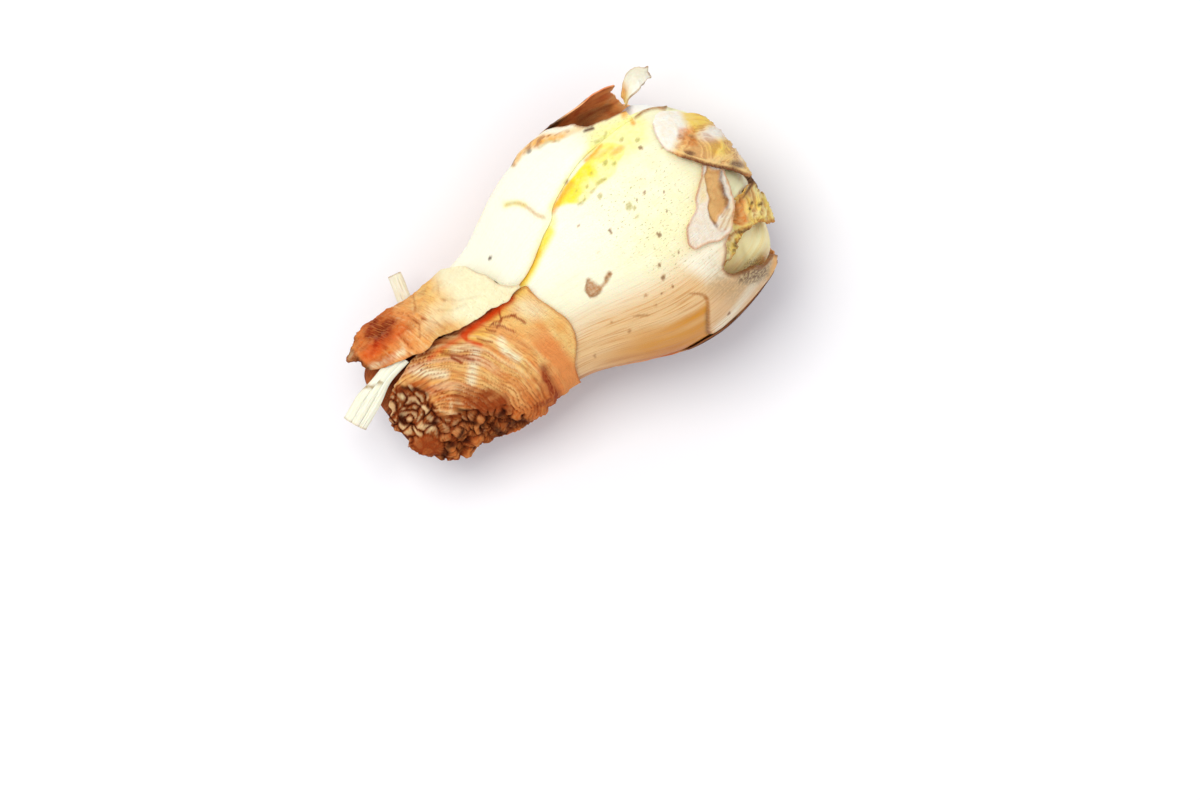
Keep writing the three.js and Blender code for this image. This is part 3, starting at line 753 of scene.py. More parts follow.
    put_in_place(piece, FLESH, "flesh", "front_scale")


def side_scale():
    lay = Lay(
        low=SEAM,
        high=[
            (-24, 128), (-8, 130), (6, 128), (11.5, 114), (13, 98), (14, 84), (15.4, 75), (17.2, 69),
            (18.4, 62.5), (19.6, 58.6), (24, 56.5), (28.6, 56.2),
        ],
        start=[(-16, 11.5), (-17.5, 24), (-20, 42), (-23, 61), (-26, 80), (-24, 128)],
        finish=[(29, 48), (28.6, 52), (28.6, 56.2)],
        torn=(0.1, 0.4, 0, 0.3), seed=5,
    )
    view, s, a = lay.view, lay.s, lay.a
    settled = rise(lay.from_low, 2, 9)
    ribs = 0.08 * noise(lay.way * [0.06, 0.5], 1, 21) + 0.04 * noise(lay.way * [0.1, 1.3], 1, 22)
    frayed = [(1.4, 28.7), (3.4, 29), (5.6, 29.4), (8, 29), (10.6, 28.6),
              (13, 27.6), (15.4, 27), (17.8, 26.3)]
    fray = stroke(view, frayed, 1.4, 0.5) * (1 - 0.6 * rise(view[0], 12.6, 17)) * rise(a, 92, 78)
    torn_line = [(-5.7, 22.4), (-4.3, 21.9), (-3.2, 21.1), (-2.4, 19.8), (-1.8, 18.2),
                 (-1.3, 16.4), (-0.4, 14.8)]
    scar = stroke(view, torn_line, 0.4, 0.5)
    fused = rise(s, 17, 21)  # where its margin has grown together with the near scale
    margin = (0.75 - 0.45 * rise(s, 1, 6)) * (1 - fused)
    height = (
        margin * (1 - settled) * rise(lay.from_low, -0.3, 3.2) - 0.05
        + ribs * rise(lay.from_low, 0, 3)
    )
    height = height - 0.3 * fused * (1 - settled)
    height = height + 0.15 * noise(lay.skin, 14, 23) - 0.15 * scar
    height = (
        height + 0.8 * rise(a, 62, 82) * rise(s, 0, 4) * rise(s, 15, 11)
        + 0.3 * fray * noise(lay.way, 1.2, 24)
    )
    wall = 0.25 + 0.75 * rise(lay.from_low, 0, 3) + 1.1 * settled
    wall = wall - (wall - 0.5) * rise(lay.from_high, 3, 0.5)
    masks = {
        "lie": lay.lie,
        "green": limited(0.6 * stroke(view, torn_line, 2.4, 1.4)
                         + 0.5 * rise(noise(lay.way, 6, 26), 0, 0.6)
                         + rise(s, 14, 20)),
        "warm": 0.8 * rise(a, 86, 104),
        "gold": 0.7 * rise(a, 94, 118),
        "tan": 0.5 * rise(a, 100, 125),
        "pink": 0.2 * rise(s, 6, 14) * rise(a, 40, 56),
        "cream": 0.9 * rise(a, 84, 70) * rise(s, 20, 10) * rise(lay.from_low, 1, 2.5)
            * (1 - stroke(view, torn_line, 2, 1)),
        "fibre": 0.06 + 0.6 * rise(a, 74, 95),
        "pale_yellow": limited(0.75 * stroke(view, torn_line[:4], 1.1, 0.6)
                               + 0.35 * rise(lay.from_low, 1.6, 0.4) * rise(s, -16, -8)
                               + 0.75 * area(view, FAR_SHOULDER, 1.6)),
        "yellow": limited(0.6 * stroke(view, SEAM_SEEN[6:11], 1.4, 0.8) + 0.25 * fray),
        "olive": limited(stroke(view, [(18.9, 21.6), (21.1, 21.2), (22.2, 22)], 0.4, 0.4) * 0.7
                         + 0.5 * stroke(view, [(8, 27.9), (10.8, 28), (12.5, 26.8)], 0.4, 0.4)),
        "amber": limited(
            0.5 * rise(lay.from_low, 0.8, 0) * rise(s, 0, -8)
            + stroke(view, [(14.7, 20.2), (20, 20.6)], 0.4, 0.4) * 0.5
            + spot(view, 28.2, 23.2, 2.4, 1.6, 60, 0.6) + spot(view, 28.5, 20.2, 1.8, 1, 70, 0.7)
            + 0.9 * fray
            + 0.3 * stroke(view, torn_line[2:], 0.5, 0.4)),
        "freckle": 0.1 + 0.6 * stroke(view, [(18, 23), (28, 22)], 2, 2),
        "mould": 0 * s,
        "brown": limited(
            fray * rise(noise(lay.way, 1.3, 25), 0.15, 0.6) + 0.5 * scar
            + rise(lay.from_high, 0.8, 0.2) * rise(s, 4, 8)),
        "dark": limited(
            spot(view, -15.7, 15, 1, 0.8, 20) * 0.9 + 0.7 * spot(view, 5.9, 28.4, 1.3, 0.6, 10, 0.5)
            + stroke(view, [(18.6, 25), (20.4, 24.5)], 0.5, 0.4)
            + 0.4 * stroke(view, [(7.8, 18), (8.8, 18.8)], 0.2, 0.3)
            + 0.5 * rise(lay.from_high, 0.4, 0.1) * rise(s, 15, 17)
            + 0.8 * stroke(view, [(1, 28.8), (2.4, 29.3), (4.2, 29.8)], 0.5, 0.5)),
    }
    piece = sheet("side_scale_flesh", off_skin(s, a, height), wall, masks, lay.kept)
    put_in_place(piece, FLESH, "flesh", "side_scale")


FLESH = flesh_finish("outer_flesh")
front_scale()
side_scale()

# --- Torn scale, peeling patch ----------------------------------------------------------------
# The ragged stump of a broken scale stands in the notch, orange where it has dried. Beside it a
# tongue of the front scale's own skin has dried, split open and come loose.


def skin_finish(name, colour, light, edge_colour, roughness=0.55):
    """A thin dried skin: lighter in places, brown along its edges, and dark in spots. Where a piece's
    masks follow its relief, the light is painted highlight on the ridges and the brown painted shade in
    the folds.
    """
    finish = Finish(name, colour, roughness, 0.2, subsurface=0.1)
    finish.mottled(light, "light", 1.2, 0.7, 1, 5)
    finish.mottled((252, 214, 92), "yellow", 1.4, 0.6, 1, 5)
    finish.mottled((228, 132, 44), "orange", 1, 0.5, 1, 5)
    finish.mottled(edge_colour, "brown", 0.6, 0.6, 1, 5)
    finish.mottled((86, 40, 22), "dark", 0.5, 0.55, 1, 5)
    finish.relief(finish.grain(0.4, stretch=(5, 0.7, 1)), 0.12)
    finish.relief(finish.grain(0.2), 0.06)
    return finish.done()


def strokes(view, lines, width, soft):
    """The sum of a stroke along each line."""
    return sum(stroke(view, line, width, soft) for line in lines)


def crumpled(way, size, seed):
    """Dried ribbons: sharp winding ridges with thin layers overlapping between them, 0 to 1."""
    drift = np.stack([noise(way, 1.6 * size, seed), noise(way, 1.6 * size, seed + 1)], axis=-1)
    winding = way + 0.8 * size * drift
    ridge = limited(1 - 2.2 * np.abs(noise(winding, size, seed + 2)))
    small = limited(1 - 2.4 * np.abs(noise(winding, 0.45 * size, seed + 3)))
    layers = (2.5 * noise(winding, 1.3 * size, seed + 4)) % 1
    return 0.5 * ridge + 0.22 * small + 0.28 * layers


def torn_scale():
    lay = Lay(
        low=[(24.8, -43.5), (29.8, -41.6), (34.5, -37), (38.6, -39.4), (41.2, -50),
             (44, -62), (48.5, -70)],
        high=[(27, -35), (28.6, -30.4), (31.6, -27.4), (34.2, -21), (37, -18),
              (40, -18.6), (43.8, -20), (47, -30)],
        start=[(24.8, -43.5), (24.6, -39.6), (27, -35)],
        finish=[(48.5, -70), (48.6, -50), (47, -30)],
        torn=(0.35, 0.4, 0.3, 1.3), seed=31, per_degree=0.4, spacing=0.22,
    )
    s, a, view = lay.s, lay.a, lay.view
    crumple = crumpled(lay.way, 2.6, 35)
    edge = rise(lay.from_edge, 0.7, 0.1)
    height = -1.6 + 2.4 * rise(s, 33, 41) + 1.1 * crumple - 0.3 + 0.8 * rise(lay.from_high, 1.5, 0)
    orange = area(view, [(34.6, -9), (32.8, -12), (34.6, -13.8), (36, -13.6), (36.4, -11),
                         (37.6, -9), (37.4, -8)], 0.6)
    pale = area(view, [(31, -12.4), (33, -13), (33, -14.4), (31, -14.4)], 0.6)
    masks = {
        "lie": lay.lie,
        # painted highlight: lighter on the raised ridges of the crumple
        "light": limited(rise(crumple, 0.4, 0.7) + 0.3 + pale),
        "yellow": limited(0.9 * (1 - orange) * rise(noise(lay.way, 2.4, 37), -0.7, 0.3) * (1 - pale)),
        "orange": limited(orange + 0.9 * spot(view, 30.2, -14, 2.6, 1.6, -20, 0.6) * (1 - pale)
                          + 0.5 * rise(crumple, 0.35, 0.1)),
        # partly painted shade: brown in the low folds of the crumple; the brown along its edges and lines
        # is its own
        "brown": limited(0.7 * edge + rise(crumple, 0.3, 0.1) * 0.55
                         + 0.6 * rise(view[0], 31, 28) * rise(noise(lay.way, 0.9, 36), 0.1, 0.5)
                         + stroke(view, [(29.6, -13.3), (31.4, -14.2), (34.3, -14.4), (36, -14.8),
                                         (39.2, -16.2)], 0.4, 0.4)
                         + 0.8 * stroke(view, [(33, -11.4), (34.6, -9.2), (38.4, -7.7)], 0.7, 0.5)),
        "dark": limited(
            spots(view, [
                (30.9, -16.5, 1.7, 1.1, 60), (34.6, -15.1, 1.7, 1), (33.4, -14.9, 0.9),
                (29.6, -17.4, 0.9, 0.7), (39.2, -11.7, 1.1, 0.9), (38.2, -10.4, 0.7),
                (37.2, -11.2, 0.7), (39.2, -7.4, 3.8, 0.9, 22),
            ], soft=0.6)),
    }
    wall = 0.6 - 0.3 * rise(lay.from_edge, 1, 0)
    finish = skin_finish("torn_flesh", (248, 216, 142), (252, 236, 170), (188, 118, 50))
    piece = sheet("torn_scale_flesh", off_skin(s, a, height), wall, masks, lay.kept)
    put_in_place(piece, finish, "torn_flesh", "torn_scale")


def peeling_patch():
    lay = Lay(
        low=[
            (21, -20.5), (21.6, -23), (23.6, -24), (25.4, -25.4), (27, -27.6), (29.2, -28.2), (30.8, -28),
            (32.8, -23.6), (34.8, -20.4), (36.2, -15.5), (38, -9), (38.8, -3),
        ],
        high=[
            (21.2, -18.2), (22.8, -13.6), (25, -11), (27, -9.2), (28.6, -4.8), (30.8, -1.4), (33, 2.6),
            (35.2, 6.5), (38.4, 2.6),
        ],
        start=[(21, -20.5), (21, -19.4), (21.2, -18.2)],
        finish=[(38.8, -3), (38.7, 0), (38.4, 2.6)],
        torn=(0.1, 0.15, 0, 0), seed=41, spacing=0.2,
    )
    s, a, view = lay.s, lay.a, lay.view
    wobbly = unsteady(view, lay.way, 0.35, 1.6, (44, 45))
    window = area(wobbly, [
        (34.9, 2), (33.9, 0.9), (33.2, -0.6), (32, -2.2), (31.2, -3.9), (29.9, -5.4), (29.1, -7),
        (29.2, -9.2), (30.6, -8.4), (32.2, -8), (33.5, -7.6), (34.2, -6.6), (34.4, -4.8), (35.3, -3.3),
        (35.6, -1.9), (37, -0.6),
    ], 0.3)
    band = area(wobbly, [(37.9, -0.6), (37.8, -3.4), (36.1, -6.6), (35.6, -6.2), (36.3, -4.2),
                         (37.1, -1.6)], 0.3)
    sunken = np.maximum(window, 0.4 * band)
    rim = rise(np.abs(window - 0.5), 0.5, 0.15)
    edge = rise(lay.from_edge, 0.6, 0.15)
    height = 0.8 + 0.2 * rise(s, 22, 38) + 0.25 * edge - 0.45 * sunken + 0.2 * rim
    height = height + 0.1 * rough(lay.way, 1.6, 46)
    streaks = strokes(view, [
        [(29.6, -10.4), (33.4, -8.5)], [(30.2, -11.4), (34, -9.2)], [(31.2, -8.8), (33, -8.2)],
    ], 0.25, 0.3)
    green = area(view, [(31.6, -8.4), (34.6, -7.4), (34.4, -9.4), (31.8, -12), (29.4, -10.4)], 0.6)
    masks = {
        "lie": lay.lie,
        "light": limited(1 - sunken),
        "yellow": limited(0.45 * area(view, [(29, -3.6), (32.4, 1), (33.6, 0.6), (30.8, -4)], 0.6)
                          + 0.3 * green),
        "orange": 0.25 * window + 0.3 * edge,
        "brown": limited(
            0.75 * edge * (1 - 0.75 * area(view, [(24.6, -4.4), (29, -2.6), (28.6, -5), (24.6, -7)], 0.5))
            + 0.5 * rim + 0.4 * sunken * rise(noise(lay.way, 1, 47), -0.2, 0.5) + 0.6 * streaks
            + 0.4 * stroke(view, [(29, -10), (29.2, -11.4), (30, -11.4)], 0.5, 0.3)
        ),
        "dark": limited(
            stroke(view, [(36.8, -0.8), (35.6, -2.2), (35.2, -3.6), (34.5, -5), (34.3, -6.6),
                          (33.2, -7.8)], 0.5, 0.5) * 0.7
            + spot(view, 29.1, -9.2, 1.6, 0.8, 80, 0.7) * 0.75
            + spot(view, 29.3, -7.3, 2.4, 0.6, 86, 0.7) * 0.4
            + spot(view, 34.6, -4.3, 2.4, 1, 75, 0.9) * 0.3),
    }
    wall = 0.45 - 0.2 * rise(lay.from_edge, 1, 0)
    finish = skin_finish("loose_skin", (234, 190, 124), (253, 240, 222), (196, 132, 70))
    piece = sheet("peeling_patch_skin", off_skin(s, a, height), wall, masks, lay.kept)
    put_in_place(piece, finish, "dried_skin", "peeling_patch")


torn_scale()
peeling_patch()

# --- Back tunic -------------------------------------------------------------------------------
# The brown papery outer tunic that still wraps the underside. Its margin stands off the rotten far
# shoulder, so that its reddish inner face shows there, and makes the dark line under the near side.


def paper_finish(name, colour, light, shade, roughness=0.7):
    """Brown papery skin with veins along it, lighter where it is worn and darker in its creases; where a
    piece lays that darkening along the folds of its relief, it is painted shade.
    """
    finish = Finish(name, colour, roughness, 0.08)
    finish.mottled(light, "light", 2, 0.35, 1)
    finish.coat(light, finish.grain(0.6, 0, 0.6, stretch=(18, 0.8, 1), over=(0.52, 0.7)))
    finish.coat(shade, finish.grain(3.5, 0, 0.75, over=(0.48, 0.68)))
    # darker in creases; painted shade where a piece's mask follows the folds of its relief
    finish.coat(shade, finish.mask("crease"))
    finish.coat((52, 22, 12), finish.mask("dark"))
    finish.relief(finish.grain(0.5, stretch=(20, 0.8, 1)), 0.18)
    finish.relief(finish.grain(0.35, detail=5), 0.08)
    return finish.done()


def back_tunic():
    lay = Lay(
        low=[(-1, 104), (2, 103), (6, 101), (10, 97), (13, 88), (15, 83), (20, 84), (26, 86), (29.6, 88)],
        high=[(-12, 250), (0, 258), (6, 264), (9, 272), (11, 276.5), (15, 277),
              (25, 277), (30, 277), (33.4, 273)],
        start=[(-1, 104), (-1.5, 108), (-6, 120), (-12, 150), (-9, 190), (-13, 225), (-12, 250)],
        finish=[(29.6, 88), (28.8, 96), (29, 112), (34, 136), (41, 165), (42, 195),
                (39, 232), (35.4, 258), (33.4, 273)],
        torn=(0.4, 0.3, 0.8, 0.8), seed=51, spacing=0.5,
    )
    s, a = lay.s, lay.a
    stand_off = 1.7 * rise(s, 17, 30)
    upper = rise(turn_from(a, 180), 30, 60)
    wrinkles = 0.1 * noise(lay.way * [0.12, 1], 1, 55) + 0.08 * noise(lay.way, 3, 56)
    height = TUNIC_TOP + stand_off * rise(a, 106, 84) - 0.6 * rise(a, 250, 266)
    height = height + wrinkles * upper * rise(a, 270, 255)
    curled = 0.3 * upper * rise(lay.from_edge, 1.5, 0) * noise(lay.way, 4, 57) * rise(a, 270, 255)
    height = height + curled
    masks = {
        "lie": lay.lie,
        "light": limited(rise(lay.from_edge, 1.5, 0) * rise(a, 262, 250)
                         + rise(noise(lay.way, 8, 58), 0, 0.6) * 0.5
                         + 0.9 * stroke((s, a * 0.5, 1), [(29, 44.5), (28, 50), (25, 57)], 1.2, 0.6)),
        "crease": rise(noise(lay.way * [0.15, 1], 1, 59), 0.3, 0.8) * 0.6,
        # dark: the random patches and the dark underside margin are the tunic's own; the darkening at the
        # cavity's neck end is painted shade
        "dark": limited(rise(noise(lay.way, 6, 60), 0.5, 0.9) * 0.4 + 0.7 * rise(a, 262, 268)
                        + rise(s, 19, 14) * rise(a, 104, 90) * 0.9),
    }
    outside = paper_finish("outer_tunic", (150, 88, 46), (204, 138, 78), (92, 48, 26))
    # painted light: the inner face is a lighter copy of the tunic's brown, standing in for the light that
    # the cavity keeps from it
    inner_face = paper_finish("tunic_inner_face_painted_light", (255, 174, 104), (255, 206, 150), (226, 122, 70), 0.5)
    points = off_skin(s, a, height)
    points[..., 2] = np.maximum(points[..., 2], 0)
    wall = 0.5 - 0.2 * rise(lay.from_edge, 1, 0)
    piece = sheet("back_tunic_paper", points, wall, masks, lay.kept, (outside, inner_face))
    put_in_place(piece, outside, "brown_tunic", "back_tunic")


back_tunic()

# --- Base curl, papery tip --------------------------------------------------------------------
# Scraps of the dry tunic that are left at the base. One has curled up off it, tan inside a dark
# margin, and a thin translucent one stands out past the far shoulder.


def base_curl():
    lay = Lay(
        low=[
            (31.2, 38), (30.2, 31.5), (29.8, 24), (30.2, 19.6), (31, 15.2), (32.2, 12), (34, 8.2),
            (35.4, 5), (37, 2.2), (39, -1.4), (40.8, -6), (42.6, -12), (44.6, -17.4),
        ],
        high=[(38, 45), (43, 44), (49, 38), (52, 15), (52.5, -4), (49, -19)],
        start=[(31.2, 38), (34, 43.4), (38, 45)],
        finish=[(44.6, -17.4), (46.6, -19.4), (49, -19)],
        torn=(0.12, 0.7, 0.3, 0), seed=61, per_degree=0.35, spacing=0.2,
    )
    s, a, view = lay.s, lay.a, lay.view
    crumple = crumpled(lay.way * [0.8, 1.3], 3, 64)
    dry = rise(view[1] - 0.35 * (view[0] - 36), 12.5, 9.5)  # the part that has dried brown
    height = 1.2 + 0.7 * rise(s, 38, 46) + 0.7 * crumple * (0.35 + 0.65 * dry) - 0.3
    height = height + 0.7 * rise(lay.from_low, 2.6, 0.5) * dry - 0.4 * rise(lay.from_low, 0.8, 0)
    low = lay.from_low
    masks = {
        "lie": lay.lie,
        # partly painted highlight: the oval spot at (40, 6.8) is a painted highlight, the rest the curl's
        # own pale colour
        "light": limited((1 - dry) * rise(view[0], 39.5, 36.5) + spot(view, 40, 6.8, 6, 2.8, -38, 0.6)
                         + 0.9 * area(view, [(40.4, -2.6), (43.2, 1.4), (44.6, 5.6), (42.6, 6),
                                             (41.4, 1)], 0.9)),
        "yellow": limited(area(view, [(38.4, 17), (42, 16.4), (43.6, 12), (44.2, 6.6), (41.6, 8.8),
                                      (37, 9.4), (37, 13)], 1)
                          + spot(view, 39, 3.4, 4.4, 2.6, -50, 0.7)),
        "orange": limited(area(view, [(33.6, 10.6), (35.2, 12.4), (37.6, 10.6), (36.2, 6.8),
                                      (34, 8.4)], 0.6) * 0.7
                          + 0.3 * dry * rise(crumple, 0.5, 0.2)),
        # partly painted shade: brown in the low folds of the dried part; the margin's brown is its own
        "brown": limited(rise(low, 0.75, 0.3) * rise(view[1], 9.5, 6) + 0.6 * rise(low, 0.4, 0.15)
                         + dry * (0.5 * rise(lay.from_edge, 0.5, 0.1) + 0.45 * rise(crumple, 0.3, 0.12))),
        "dark": limited(rise(low, 0.65, 0.25) * rise(view[1], 7.6, 6.4) * rise(view[1], -5.5, -3.5)
                        + spot(view, 33.6, 6.5, 2.4, 1.3, -40, 0.6)
                        + spot(view, 39.5, -1.6, 3.2, 1.7, -52, 0.6)
                        + spot(view, 42.1, 4.6, 1, 0.8) * 0.7
                        + spot(view, 34.3, 10.6, 1.6, 0.9, -70, 0.7) * 0.5
                        + spot(view, 36.1, 9.2, 1.8, 0.8, -60, 0.7) * 0.6
                        + spot(view, 42.4, 8.4, 0.8) * 0.5
                        + spot(view, 43.6, 6.2, 0.9) * 0.5),
    }
    wall = 0.5 - 0.25 * rise(lay.from_edge, 1, 0)
    finish = skin_finish("curled_tunic", (252, 210, 138), (254, 249, 238), (178, 106, 48))
    piece = sheet("base_curl_skin", off_skin(s, a, height), wall, masks, lay.kept)
    put_in_place(piece, finish, "dried_skin", "base_curl")


def strip(name, line, half, across, arch, wall, masks, spacing=0.3):
    """A thin strip along a smooth line, half its width on each side, arched across. half(u) and
    masks(u, w, points) take the way along it, 0 to 1, and across it, -1 to 1."""
    middle = smooth_line(line)
    rows = round(middle.length / spacing)
    columns = max(8, round(2 * float(np.max(half(np.linspace(0, 1, 9)))) / spacing))
    u, v = np.meshgrid(np.linspace(0, 1, rows + 1), np.linspace(0, 1, columns + 1), indexing="ij")
    sideways = np.array(across) / np.linalg.norm(across)
    tangent = middle(np.minimum(u + 0.01, 1)) - middle(np.maximum(u - 0.01, 0))
    normal = np.cross(tangent, sideways)
    normal /= np.linalg.norm(normal, axis=-1, keepdims=True)
    normal *= np.sign(normal[..., 2:])
    w = 2 * v - 1
    reach = half(u)
    points = middle(u) + sideways * (w * reach)[..., None]
    points = points + normal * (wall / 2 - arch * reach * w * w)[..., None]
    marks = masks(u, w, points)
    height = marks.pop("height", 0 * u)
    return sheet(name, points + normal * height[..., None], wall, marks)


def papery_tip():
    def masks(u, w, points):
        way = np.stack([u * 12, w * 2.4], axis=-1)
        return {
            "height": 0.3 * rough(way, 2.5, 71) + 0.5 * rise(w, 0.3, 1) * rise(u, 0.4, 0.8),
            "lie": np.stack([u * 12, w * 2.4, 0 * u], axis=-1),
            "light": 0.9 * rise(u, 0.1, 0.45) + 0.3 * rise(w, 0, -0.8),
            "yellow": 0.8 * rise(u, 0.34, 0.1),
            "orange": 0.75 * rise(u, 0.4, 0.14) * rise(w, -0.7, 0.4),
            "brown": limited(0.75 * rise(np.abs(w), 0.86, 1) + 0.7 * rise(u, 0.93, 1)),
            "dark": limited(0.5 * rise(np.abs(w), 0.9, 1) * rise(noise(way, 2, 72), 0, 0.5)
                            + 0.8 * rise(u, 0.94, 1) * rise(w, 0.5, 0) * rise(w, -0.9, -0.4)),
        }

    finish = skin_finish("papery_scrap", (248, 230, 186), (254, 250, 232), (196, 160, 112))
    piece = strip(
        "papery_tip_scrap", [(29.4, 24.6, 36.2), (32, 26.4, 36.8), (34.8, 27, 35.4), (37.6, 26.4, 33.4)],
        lambda u: 1.2 + 1.3 * np.sin(np.pi * limited(1.15 * u)) ** 0.7 * rise(u, -0.1, 0.5),
        (0.2, 1, -0.4), -0.3, 0.4, masks, spacing=0.22,
    )
    put_in_place(piece, finish, "straw", "papery_tip")


base_curl()
papery_tip()

# --- Neck core --------------------------------------------------------------------------------
# Old leaf bases, dried together inside the neck. They are dark red-brown in the depth of the slit
# and end in a torn, shrivelled clump.


def neck_core():
    start, end = CORE_START, -55.5
    side_room, top_room = 4, 3.1
    middle = (start + end) / 2

    def place(u, turn):
        swell = np.sin(math.pi * limited(u)) ** 0.3
        station = middle - np.cos(math.pi * u) * (end - start) / 2
        angle = turn * 2 * math.pi
        way = np.stack([station, np.sin(angle) * 14, np.cos(angle) * 9], axis=-1)
        folds = 1 + 0.05 * np.sin(turn * 8 * 2 * math.pi) + 0.04 * rough(way * [0.2, 1, 1], 3, 81)
        points = np.stack([
            station,
            profile_at(station, 2) + (profile_at(station, 3) - side_room) * swell * folds * np.sin(angle),
            profile_at(station, 5) + (profile_at(station, 4) - top_room) * swell * folds * np.cos(angle),
        ], axis=-1)
        lie = np.stack([station, turn * 60, 0 * u], axis=-1)
        return points, {
            "lie": lie,
            "light": rise(station, -48, -54) * 0.6,
            # painted shade in the inward folds
            "crease": rise(folds, 1, 0.95),
            # painted shade: darker along the part that lies inside the neck, away from its torn end
            "dark": 0.75 * rise(station, -50, -44),
        }

    finish = paper_finish("dried_core", (150, 62, 28), (196, 116, 62), (96, 34, 14), 0.8)
    piece = closed_body("neck_core_leaves", place, 90, 120)
    put_in_place(piece, finish, "dried_core", "neck_core")


neck_core()

# --- Neck tunics ------------------------------------------------------------------------------
# Two dry tunics close the neck. The near one starts over the scales in a curved collar, wraps the
# near side and the underside in arched folds, and shrivels at its torn end. The far one is a loose
# flap whose margin lies over the near one, with a dark red slit between them.


def neck_finish(name):
    """Dry tan skin: orange near the collar, with painted highlights on its ridges and painted shade in
    its hollows, red-brown and burnt at its end.
    """
    finish = Finish(name, (242, 172, 92), 0.75, 0.08, subsurface=0.08)
    finish.coat((254, 222, 146), finish.grain(3, 0, 0.75, 5))
    finish.coat((240, 146, 78), finish.mask("salmon"))
    finish.mottled((252, 200, 90), "gold", 1.5, 0.6, 1)
    finish.mottled((255, 246, 204), "cream", 1.2, 0.8, 1, 5)
    finish.mottled((214, 102, 30), "rust", 1.2, 0.45, 1, 5)
    finish.mottled((140, 34, 8), "red", 0.8, 0.7, 1, 5)
    finish.mottled((116, 48, 12), "burnt", 0.8, 0.6, 1, 5)
    finish.mottled((208, 124, 66), "fibre", 0.45, 0, 0.6, stretch=(0.8, 8, 1), over=(0.5, 0.62))
    # painted highlights on ridges and lumps
    finish.coat((255, 232, 176), finish.mask("light"))
    # partly painted shade in hollows and crevices, partly the dark colour of creases, cracks and patches
    finish.coat((156, 66, 22), finish.mask("crease"))
    finish.mottled((224, 60, 0), "glow", 1.5, 0.85, 1)
    finish.mottled((50, 14, 6), "dark", 0.7, 0.65, 1, 5)
    finish.relief(finish.grain(0.4, stretch=(1, 6, 1)), 0.12)
    finish.relief(finish.grain(0.35, stretch=(7, 0.8, 1)), 0.12)
    finish.relief(finish.grain(0.5, detail=6), 0.1)
    return finish.done()


def hollows(height, reach):
    """How far each point of a grid lies below the mean of the points round it."""
    mean = height
    for axis in (0, 1):
        padded = np.pad(mean, [(reach, reach) if k == axis else (0, 0) for k in (0, 1)], mode="edge")
        total = np.cumsum(padded, axis=axis)
        width = 2 * reach
        mean = (np.take(total, range(width, total.shape[axis]), axis=axis)
                - np.take(total, range(0, total.shape[axis] - width), axis=axis)) / width
    return mean - height


def overlap(ring, place, sharp, soft):
    """A fold over the next one: it rises softly towards its place and drops sharply past it."""
    past = ring - place
    return np.exp(-(np.where(past > 0, past / sharp, past / soft) ** 2))


def lumps(way, seed):
    """Lumps packed side by side, one in each unit: how far inside its lump each place is, and a
    random value for each lump."""
    near, second, own = np.full(way.shape[:-1], 9.0), np.full(way.shape[:-1], 9.0), 0
    for step in np.ndindex(3, 3):
        corner = np.floor(way) + step - 1
        drift = np.stack([noise(corner, 0.37, seed), noise(corner, 0.37, seed + 1)], axis=-1)
        distance = np.linalg.norm(way - corner - 0.5 - 0.6 * drift, axis=-1)
        closer = distance < near
        second = np.where(closer, near, np.minimum(second, distance))
        own = np.where(closer, noise(corner, 0.37, seed + 2), own)
        near = np.minimum(near, distance)
    return second - near, own


